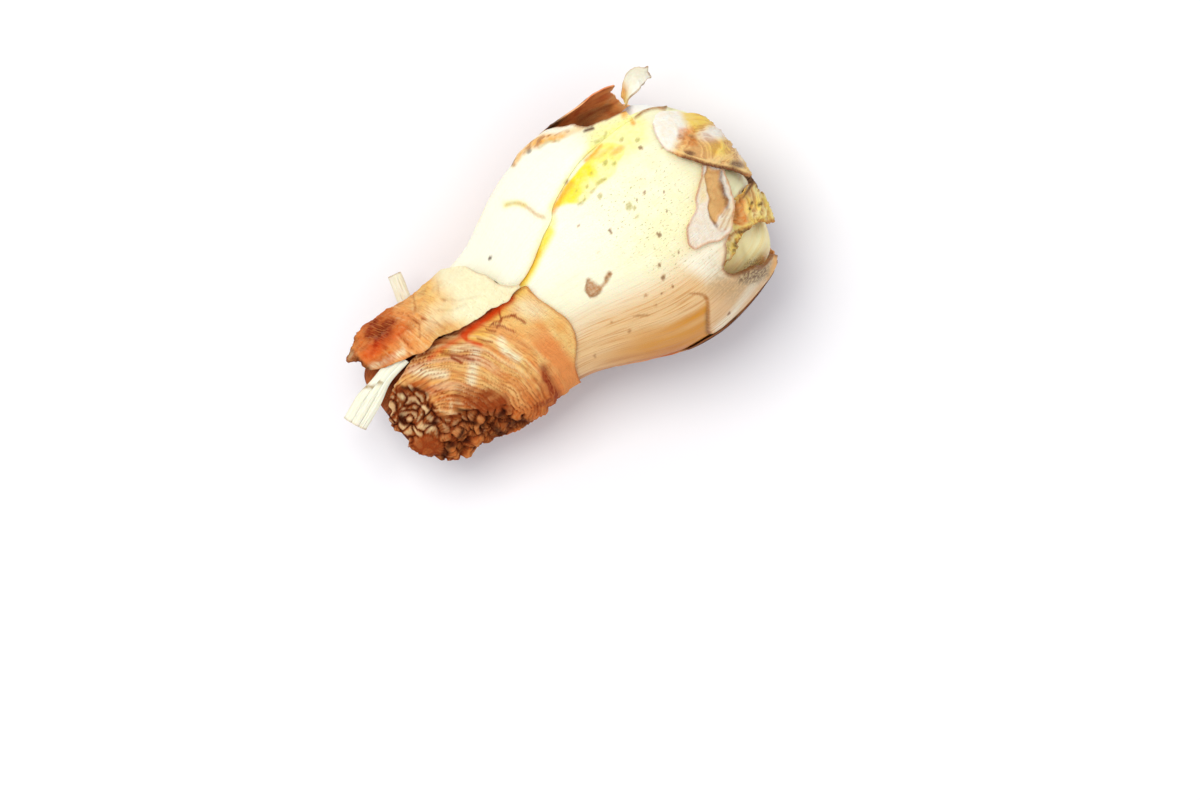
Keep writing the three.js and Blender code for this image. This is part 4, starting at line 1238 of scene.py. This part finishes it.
def neck_tunic_front():
    lay = Lay(
        low=[
            (-17.5, 10.4), (-20.2, 13.4), (-23, 16.4), (-26.8, 19.4), (-30, 21.4), (-33, 22.6),
            (-36.5, 22.4), (-40, 21.6), (-43, 21), (-46.4, 17.6), (-48.6, 14.6),
        ],
        high=[(-20, -245), (-34, -250), (-46, -245)],
        start=[
            (-17.5, 10.4), (-15, 10), (-12.6, 8), (-12.5, 3), (-12.1, -4.8), (-10.9, -12.6),
            (-9.9, -23), (-10.3, -31), (-11.5, -39.5), (-14.6, -54.4), (-15.6, -66), (-16, -90),
            (-16.4, -120), (-17, -160), (-16, -200), (-20, -245),
        ],
        finish=[
            (-48.6, 14.6), (-50, 12.4), (-52.8, 6.4), (-54.6, -2), (-55.8, -8.6), (-56, -18),
            (-54.8, -26), (-55.9, -32), (-54, -52), (-51.5, -72), (-50, -90), (-51, -130),
            (-49, -180), (-50, -220), (-46, -245),
        ],
        torn=(0.2, 0.3, 0.12, 0.8), seed=91, per_degree=0.3, spacing=0.29,
    )
    s, a, view = lay.s, lay.a, lay.view
    across = lay.way[..., 1]
    shrink = 1 - 0.1 * rise(s, -42, -58)
    # The folds arch round the torn end, and run straight round the neck on the underside.
    out = np.hypot(s + 47, np.maximum(across + 13.6, -10) - 0.12 * np.minimum(across + 14, 0))
    ring = out + 0.8 * noise(lay.way, 9, 95) + 0.35 * noise(lay.way, 3, 96)
    flat = unsteady((s, across, 1.0), lay.way, 0.5, 2, (93, 94))
    clump = area(flat, [
        (-49.5, 3.4), (-46.8, 1), (-45.3, -2), (-46.2, -6), (-44.6, -9), (-40.5, -10), (-37, -11.7),
        (-33, -13.6), (-31, -18.6), (-32, -25), (-40, -32), (-44, -45), (-46, -76), (-62, -76), (-62, 4),
    ], 0.9)
    ringed = rise(ring, 22.4, 21.4) * (1 - clump)
    layers = ((22 - ring) / 0.95 + 0.5 * noise(lay.way, 4, 97)) % 1
    middle = rise(ring, 21.8, 22.8) * rise(ring, 28.6, 27.6)
    pinched = area(flat, [(-43.5, -2), (-38, -7), (-39, -11), (-44, -10), (-46.4, -6)], 1.6)
    bent = lay.way + 1.5 * np.stack([noise(lay.way, 2.6, 90), noise(lay.way, 2.6, 89)], axis=-1)
    inside, own = lumps(bent / [2.1, 3.1], 100)
    frayed = rough(lay.way * [1, 0.5], 2, 101)
    lobe = spot(view, -52.2, -10.8, 6.4, 4.6, -50, 0.4)
    lump = np.sqrt(limited(inside))
    height = (
        0.7
        + 0.4 * overlap(ring, 28.4, 0.25, 1.5) + 0.45 * overlap(ring, 24.6, 0.3, 1.1)
        + 0.5 * overlap(ring, 22.2, 0.3, 1.6)
        + ringed * (0.34 * layers * (0.75 + 0.6 * noise(lay.way, 5, 98)) + 0.3 * rough(lay.way, 5, 99))
        + pinched * 0.5 * rough(lay.way @ [[0.8, 0.3], [0.6, 0.4]], 1.6, 92)
        + middle * (0.06 * np.sin(ring * 4.6) + 0.14 * rough(lay.way, 3, 103))
        + 0.06 * rise(ring, 27, 29) * noise(lay.way, 3, 104)
        + clump * (-1 + (1 - lobe) * (1.3 * lump + 0.8 * own + 0.7 * frayed) + 1.4 * lobe)
    )
    below = 0.6 * hollows(height, 4) + hollows(height, 2)
    wavering = unsteady(view, lay.way, 0.3, 1.6, (84, 83))
    streak = noise(np.stack([ring, across], axis=-1) * [1, 0.12], 1.1, 105)
    hood = area(view, [
        (-37.3, -5.6), (-34, -7.6), (-31.1, -11.7), (-32.4, -14.8), (-36, -13), (-39.1, -10.6),
        (-39.6, -7.6),
    ], 1.1) * (0.75 + 0.5 * noise(lay.way, 1.6, 88))
    slit = [(-13.4, 5.6), (-18, 5), (-22, 5.4), (-26, 6), (-30.7, 6.4),
            (-35, 7.4), (-39.4, 7.4), (-43, 8.6)]
    cracks = strokes(wavering, [  # dark red threads of torn skin
        [(-23.6, 2.4), (-22, 0.6), (-20.7, -1.7)], [(-24.4, 2.6), (-21.4, 2.6), (-18.6, 1.2)],
        [(-20.6, 4.4), (-21.5, 2.5), (-23.4, 1.2)], [(-25.6, 2.6), (-24.2, 0.8)],
        [(-19.5, 1.8), (-17.6, -1.4)],
        [(-36, 2.2), (-34.8, -0.2)], [(-28.4, 2.2), (-26.4, -0.4)],
    ], 0.1, 0.3)
    masks = {
        "lie": np.stack([ring, across, 0 * s], axis=-1),
        "salmon": limited(rise(across, -1, -9) * rise(ring, 27.4, 29) * rise(view[0], -13.4, -15.6) * 0.9
                          + 0.5 * rise(across, -8, -15) * (middle + ringed)
                          + 0.5 * middle * rise(streak, 0.1, 0.6)),
        "gold": limited(stroke(view, [(-12.6, 6), (-15.5, 4.6), (-19, 4.4), (-24, 4)], 2, 1.6)
                        + spot(view, -28.4, 2.6, 5.4, 3.4, -10, 0.7)
                        + spot(view, -35.4, 3, 6, 1.8, -37, 0.7)),
        "cream": limited(stroke(view, [(-24.6, -1.4), (-25, -3.6), (-24, -6.4)], 1.6, 1)
                         + spot(view, -15, 0.5, 7, 4, -50, 0.8) * 0.6
                         + stroke(view, [(-30.4, 0.2), (-32.6, -1.6), (-35.4, -4.4)], 1.8, 1.1)
                         + stroke(view, [(-44.4, 5.2), (-42.4, 2.8), (-39.4, 0.2)], 1.5, 1.1)
                         + 0.6 * stroke(view, [(-31, 2), (-34.6, 3)], 1.4, 1)
                         + 0.5 * rise(streak, 0.2, 0.6) * ringed * rise(across, -8, -2)),
        "rust": limited(0.9 * clump + 0.9 * rise(across, -13, -20) * rise(s, -19, -24)
                        + 0.7 * rise(across, -28, -40)
                        + ringed * (0.1 + 0.5 * rise(streak, -0.2, 0.4)) + 0.6 * pinched
                        + 0.7 * area(view, [(-47.4, 4.4), (-43, 1.4), (-44, -1), (-48.6, 2.6)], 0.9)),
        # partly painted shade: the broad red band along the slit is the flap's reddish shadow; the other
        # strokes, cracks and patches are the skin's own red
        "red": limited(0.9 * stroke(view, slit[2:], 3.2, 1) + 0.5 * stroke(view, slit[:3], 1.2, 1)
                       + 0.8 * hood
                       + 0.9 * stroke(view, [(-20.6, -11.6), (-21.6, -15), (-22.4, -19.6)], 1.6, 1)
                       + 0.9 * stroke(view, [(-37, 4.4), (-34.7, 1.9), (-32.3, -1.1)], 0.5, 0.45)
                       + 0.8 * stroke(view, [(-35.9, 2.3), (-35, 0.1)], 0.4, 0.4)
                       + cracks
                       + 0.8 * area(view, [(-21.4, -12.6), (-22.4, -19.8), (-26, -20),
                                           (-28.4, -17.6), (-25.6, -15.6)], 0.9)
                       * rise(noise(lay.way, 1.8, 87), -0.6, 0.3)),
        "glow": limited(stroke(view, [(-17, 4.8), (-23.4, 4.5), (-26.7, 4.6), (-30.6, 4.6)], 1.6, 0.9)
                        + 0.9 * stroke(view, [(-30.4, 4.6), (-30.7, 3.2), (-28.8, 0.6)], 0.8, 0.5)
                        + 0.6 * stroke(view, [(-32, 4.6), (-36, 5), (-40, 5)], 0.8, 0.6)),
        "burnt": limited(clump * (1 - 0.65 * rise(own + 0.3 * frayed, 0, 0.7)) + hood
                         + 0.6 * area(view, [(-47.4, 4), (-44, 1), (-44.4, -1), (-48.6, 2.6)], 0.7)
                         + 0.7 * stroke(view, [(-39, -4.6), (-42.4, -8), (-44.6, -9.6)], 1.4, 1.2)
                         + 0.8 * rise(a, -105, -125)),
        "fibre": 1 - 0.6 * rise(ring, 27, 30),
        # light: painted highlights on the ridges, on the clump's lumps and in spots on the clump
        "light": (1 - lobe) * limited(
                         rise(-below, 0.08, 0.3) * 0.35 * rise(ring, 29, 27) * (1 - hood)
                         * rise(across, -14, -8)
                         + clump * rise(own + 0.4 * frayed, 0.1, 0.8) * rise(inside, 0.1, 0.5) * 0.2
                         * rise(across, -18, -10)
                         + 0.5 * (spot(view, -49.6, 1.9, 2.6, 1.6, 60)
                                  + spot(view, -48.8, -2, 4, 1.8, -60, 0.6)
                                  + spot(view, -49, -7.4, 3, 1.8, 10, 0.6)
                                  + spot(view, -42.7, -6.3, 2.6, 0.9, 50, 0.6)
                                  + spot(view, -40.4, -14.9, 2, 1.2)) * rise(frayed, -0.8, 0.3)),
        # partly painted shade in the hollows and between the clump's lumps; the ring lines, cracks, lobe,
        # hood and collar edge are the skin's own dark
        "crease": limited(rise(below, 0.1, 0.4) * 0.55 * rise(ring, 30, 28)
                          + 0.55 * ringed * rise(layers, 0.55, 0.05)
                          * rise(noise(lay.way, 3, 85), -0.7, 0.1) + 0.3 * cracks
                          + clump * rise(inside, 0.3, 0.05) * 0.7 + 0.7 * lobe + 0.7 * hood
                          + 0.5 * rise(lay.from_start, 0.4, 0.1)),
        # partly painted shade: the flap's shadow along the slit, and the crevices and hollows of the
        # clump; the other spots and strokes are dark marks on the skin
        "dark": limited(
            0.9 * stroke(view, [(x, y + 0.6) for x, y in slit[4:]], 1.4, 0.8)
            + 0.7 * stroke(view, [(x, y + 0.4) for x, y in slit[2:6]], 0.9, 0.8)
            + clump * rise(inside, 0.22, 0.03) * rise(frayed, 0.6, -0.4) * (1 - lobe)
            + rise(below, 0.6, 1.1) * clump
            + 0.8 * stroke(view, [(-48.9, 3.7), (-47.7, 2.2), (-46.3, 1.2), (-45.4, -1)], 0.5, 0.5)
            + 0.9 * stroke(view, [(-34, -16.8), (-31.6, -18.6), (-30.2, -20.4)], 1.2, 1)
            + spots(view, [
                (-37.3, -17.3, 4.6, 2, -80), (-53.2, -2.2, 2.6, 1.4, 70), (-50.3, -14.4, 3.6, 1.6, 30),
                (-40.7, -8.8, 3.4, 0.9, -40), (-41.2, -12, 3.6, 0.9, -40), (-34.6, -14.2, 2.4, 1, -20),
                (-54.6, 1.4, 2.4, 0.9, 60), (-44.6, -12.4, 3, 1, 20), (-48, -13.4, 2.4, 1, -30),
                (-39, -14, 2.6, 1, 10),
            ], soft=0.6)),
    }
    wall = 0.5 - 0.3 * rise(lay.from_edge, 1.2, 0)
    piece = sheet("neck_tunic_front_skin", off_skin(s, a, height, shrink), wall, masks, lay.kept)
    put_in_place(piece, NECK, "tan_tunic", "neck_tunic_front")


def neck_tunic_side():
    lay = Lay(
        low=[
            (-12.2, 9), (-15.5, 9.6), (-19, 11), (-22, 13.8), (-27.5, 17), (-32, 20.4), (-36, 21.4),
            (-39, 18.6), (-41.5, 21), (-45, 23.6), (-49, 26), (-51.8, 30),
        ],
        high=[(-27, 96), (-37, 95), (-47, 96)],
        start=[
            (-12.2, 9), (-14.6, 13.6), (-16.4, 21), (-17.6, 32), (-19.2, 41), (-20.4, 52), (-22.4, 63),
            (-25, 76), (-27, 96),
        ],
        finish=[
            (-51.8, 30), (-52.8, 36), (-53, 44), (-54.4, 50), (-55.2, 56), (-54.2, 62), (-51.8, 71),
            (-50, 82), (-47, 96),
        ],
        torn=(0.25, 0.3, 0.15, 0.5), seed=111, per_degree=0.3, spacing=0.22,
    )
    s, a, view = lay.s, lay.a, lay.view
    across = lay.way[..., 1]
    dry = rise(s + 2 * noise(lay.way, 6, 115), -25, -38)
    arched = np.stack([s + 0.35 * across, across - 0.3 * s], axis=-1)
    wrinkles = crumpled(arched * [1, 0.35], 3.6, 116)
    drawn = [  # folds and creases seen on it
        [(-28.2, 17), (-29.6, 14.6), (-29, 12.4)], [(-29.4, 13), (-26, 10.6), (-22.5, 9.2)],
        [(-35.6, 12.2), (-33.4, 9.4), (-32.6, 7.4)], [(-31.4, 11.6), (-28.4, 9.6), (-25.4, 9.2)],
        [(-38, 14.6), (-37, 11.6), (-38.4, 9.4)], [(-42, 12.5), (-41.4, 9.6)], [(-34.6, 18), (-36, 14.5)],
    ]
    folds = strokes(view, drawn, 0.1, 0.5)
    rays = strokes(view, [  # dark red folds that run together
        [(-45.8, 15.6), (-41.6, 16.2)], [(-45.8, 15.6), (-44.8, 18.6)], [(-46, 15.4), (-48.6, 17)],
        [(-45.8, 15), (-46.4, 11.6)], [(-46, 15), (-49.4, 12.6)],
    ], 0.4, 0.6)
    height = (
        0.95 + rise(a, 62, 46) + 1.3 * rise(lay.from_low, 9, 0) * rise(s, -17, -30)
        + dry * (0.6 * wrinkles - 0.2 + 0.25 * rough(lay.way, 3, 119)) + 0.1 * noise(lay.way, 4, 120)
        - 0.22 * folds - 0.2 * rays + 0.4 * rise(a, 55, 85) * rise(s, -36, -44)
        - 0.8 * rise(s, -51.5, -56)
    )
    below = 0.5 * hollows(height, 5) + hollows(height, 2)
    ember = area(view, [(-40, 12.5), (-41, 18.6), (-49, 19.6), (-52.6, 16.4), (-52.4, 11),
                        (-46, 10.4)], 1.8)
    masks = {
        "lie": np.stack([arched[..., 0], arched[..., 1], 0 * s], axis=-1),
        "salmon": limited(rise(s + 3 * noise(lay.way, 4, 122), -32, -42) * 0.7),
        "gold": limited(0.4 * area(view, [(-27, 17.5), (-31.5, 18), (-32, 14), (-28, 12)], 1.2)
                        + stroke(view, [(-12.6, 6), (-16, 5.4), (-20, 5.2)], 1.2, 1)
                        + 0.5 * spot(view, -48.6, 11.4, 6, 2.4, 10, 0.8)),
        "cream": limited(rise(s + 1.5 * noise(lay.way, 5, 121), -31, -25)
                         + 0.8 * stroke(view, [(-51, 10.4), (-47.4, 9.6), (-43.4, 9)], 1, 0.8)
                         + 0.5 * spot(view, -33, 11, 7, 4, 20, 0.8)
                         + 0.5 * spot(view, -28, 8.6, 7, 2.4, -10, 0.8)),
        "rust": limited(ember + 0.65 * rise(s, -34, -42) * rise(noise(lay.way, 2.5, 124), 0, 0.5)),
        "red": limited(area(view, [(-45.6, 19.2), (-42.6, 17.8), (-40.4, 15.4), (-43.6, 13.4),
                                   (-47.4, 12.8), (-48.8, 15.4), (-47.8, 18)], 1.3)
                       * (0.9 + 0.5 * noise(lay.way, 1.5, 86)) + 0.4 * rays
                       + 0.2 * folds * rise(s, -30, -34)),
        "fibre": dry,
        "glow": limited(0.55 * spot(view, -48.6, 12.8, 6, 3, 10, 0.8)
                        + 0.3 * spot(view, -43, 12.6, 5, 2, 10, 0.8)),
        "burnt": limited(rise(view[0], -51.6, -53.6) * 0.85
                         + 0.5 * stroke(view, [(-52, 10.6), (-53, 14)], 1, 0.8)
                         + 0.35 * spot(view, -45.4, 16.4, 6, 3, 10, 0.8)
                         + 0.3 * dry * rise(noise(lay.way, 3, 126), 0.2, 0.6)),
        # light: painted highlights on the ridges of the dried wrinkles, and a lighter spot on the tip
        "light": limited(rise(-below, 0.08, 0.26) * 0.35 * dry * (1 - 0.8 * ember) * rise(s, -53, -50)
                         + 0.35 * spot(view, -53.8, 16, 2, 1.4, 40, 0.7)),
        # partly painted shade in the hollows of the wrinkles; the drawn folds and the edges are the
        # skin's own dark
        "crease": limited(rise(below, 0.07, 0.3) * 0.6 * dry * (1 - 0.5 * ember) + 0.12 * folds
                          + 0.35 * rise(lay.from_start, 0.45, 0.1) * rise(a, 66, 40)
                          + 0.2 * rise(lay.from_low, 0.3, 0)),
        "dark": limited(0.1 * rays + 0.5 * rise(lay.from_finish, 0.6, 0.1)
                        + 0.5 * stroke(view, [(-52, 10.4), (-52.8, 13.6)], 0.5, 0.5)
                        + 0.3 * spot(view, -51, 17.6, 3, 1.2, 70, 0.8)),
    }
    wall = 0.5 - 0.3 * rise(lay.from_edge, 1.2, 0)
    piece = sheet("neck_tunic_side_skin", off_skin(s, a, height), wall, masks, lay.kept)
    put_in_place(piece, NECK, "tan_tunic", "neck_tunic_side")


NECK = neck_finish("neck_skin")
neck_tunic_front()
neck_tunic_side()

# --- Leaf bases -------------------------------------------------------------------------------
# Two leaves were cut off and have dried to pale straw. The wide one fans out of the neck's end,
# and the narrow one sticks out through the slit on the far side.


def straw_finish():
    """Pale straw with fine ribs along it, brown at the cut."""
    finish = Finish("straw", (253, 252, 234), 0.6, 0.3, subsurface=0.1)
    finish.coat((238, 228, 178), finish.grain(0.4, 0, 0.5, stretch=(14, 0.6, 1)))
    finish.mottled((176, 146, 96), "brown", 0.6, 0.5, 1)
    finish.relief(finish.grain(0.35, stretch=(20, 0.6, 1)), 0.15)
    return finish.done()


def leaf_masks(brown_line):
    def masks(u, w, points):
        view = (points[..., 0], points[..., 1], np.ones(u.shape))
        return {
            "height": 0.12 * np.cos(w * 9) + 0.1 * noise(np.stack([u * 8, w * 2], axis=-1), 1.5, 131),
            "lie": np.stack([u * 18, w * 2.5, 0 * u], axis=-1),
            "brown": limited(stroke(view, brown_line, 0.4, 0.4) + 0.8 * rise(u, 0.97, 1)
                             + 0.3 * rise(np.abs(w), 0.85, 1)),
        }

    return masks


straw = straw_finish()
long_stub = strip(
    "leaf_stub_long_straw", [(-45, 9, 27.4), (-50, 8.1, 27.3), (-56, 6.1, 26.2), (-62.4, 3.6, 24.2)],
    lambda u: 1.3 + 1.1 * rise(u, 0.3, 0.7), (-0.45, 1, 0.1), 0.2, 0.8,
    leaf_masks([(-58.5, 8.5), (-56, 8.6), (-54, 7.8), (-52, 7.5)]),
)
put_in_place(long_stub, straw, "straw", "leaf_stub_long")
short_stub = strip(
    "leaf_stub_short_straw", [(-37.4, 15.8, 16), (-36.8, 19.5, 16), (-35.2, 25.4, 17)],
    lambda u: 1.3 - 0.25 * u, (1, -0.2, 0), 0.1, 0.75, leaf_masks([(-38, 18), (-36.8, 18.6)]),
)
put_in_place(short_stub, straw, "straw", "leaf_stub_short")

# --- Table, light and camera ------------------------------------------------------------------
# The bulb lies on a plain white table under soft daylight from the upper left. The camera looks
# straight down on it, with the bulb turned so that its base points up and to the right.


def table():
    side = 6  # metres
    bpy.ops.object.select_all(action="DESELECT")
    bpy.ops.mesh.primitive_grid_add(x_subdivisions=8, y_subdivisions=8, size=side)
    floor = bpy.context.object
    floor.name = "table_top"
    white = bpy.data.materials.new("white_table")
    white.use_nodes = True
    white.node_tree.nodes["Principled BSDF"].inputs["Base Color"].default_value = (0.97, 0.965, 0.98, 1)
    white.node_tree.nodes["Principled BSDF"].inputs["Roughness"].default_value = 0.9
    floor.data.materials.append(white)


def daylight():
    sky_strength = 0.76
    window_place, window_turn = (-0.06, 0.29, 0.88), (-18.2, -3.9, 0)  # in metres and degrees
    window_side, window_power = 0.45, 4.3  # in metres and watts
    world = bpy.data.worlds.new("daylight")
    bpy.context.scene.world = world
    world.use_nodes = True
    sky = world.node_tree.nodes["Background"]
    sky.inputs["Color"].default_value = (0.93, 0.95, 1, 1)
    sky.inputs["Strength"].default_value = sky_strength
    bpy.ops.object.light_add(type="AREA", location=window_place)
    window = bpy.context.object
    window.data.size = window_side
    window.data.energy = window_power
    window.data.color = (1, 0.97, 0.92)
    window.rotation_euler = [math.radians(part) for part in window_turn]


def camera():
    frame_width, sensor = 0.27, 36  # in metres and millimetres
    turn = math.radians(-37)
    bpy.ops.object.camera_add()
    view = bpy.context.object
    view.data.sensor_width = sensor
    view.data.lens = sensor * EYE_HEIGHT * MM / frame_width
    view.data.clip_start, view.data.clip_end = 0.01, 10
    view.location = [(EYE[k] + SHIFT[k]) * MM for k in (0, 1)] + [(MIDDLE + EYE_HEIGHT) * MM]
    view.rotation_euler = (0, 0, turn)
    bpy.context.scene.camera = view


table()
daylight()
camera()
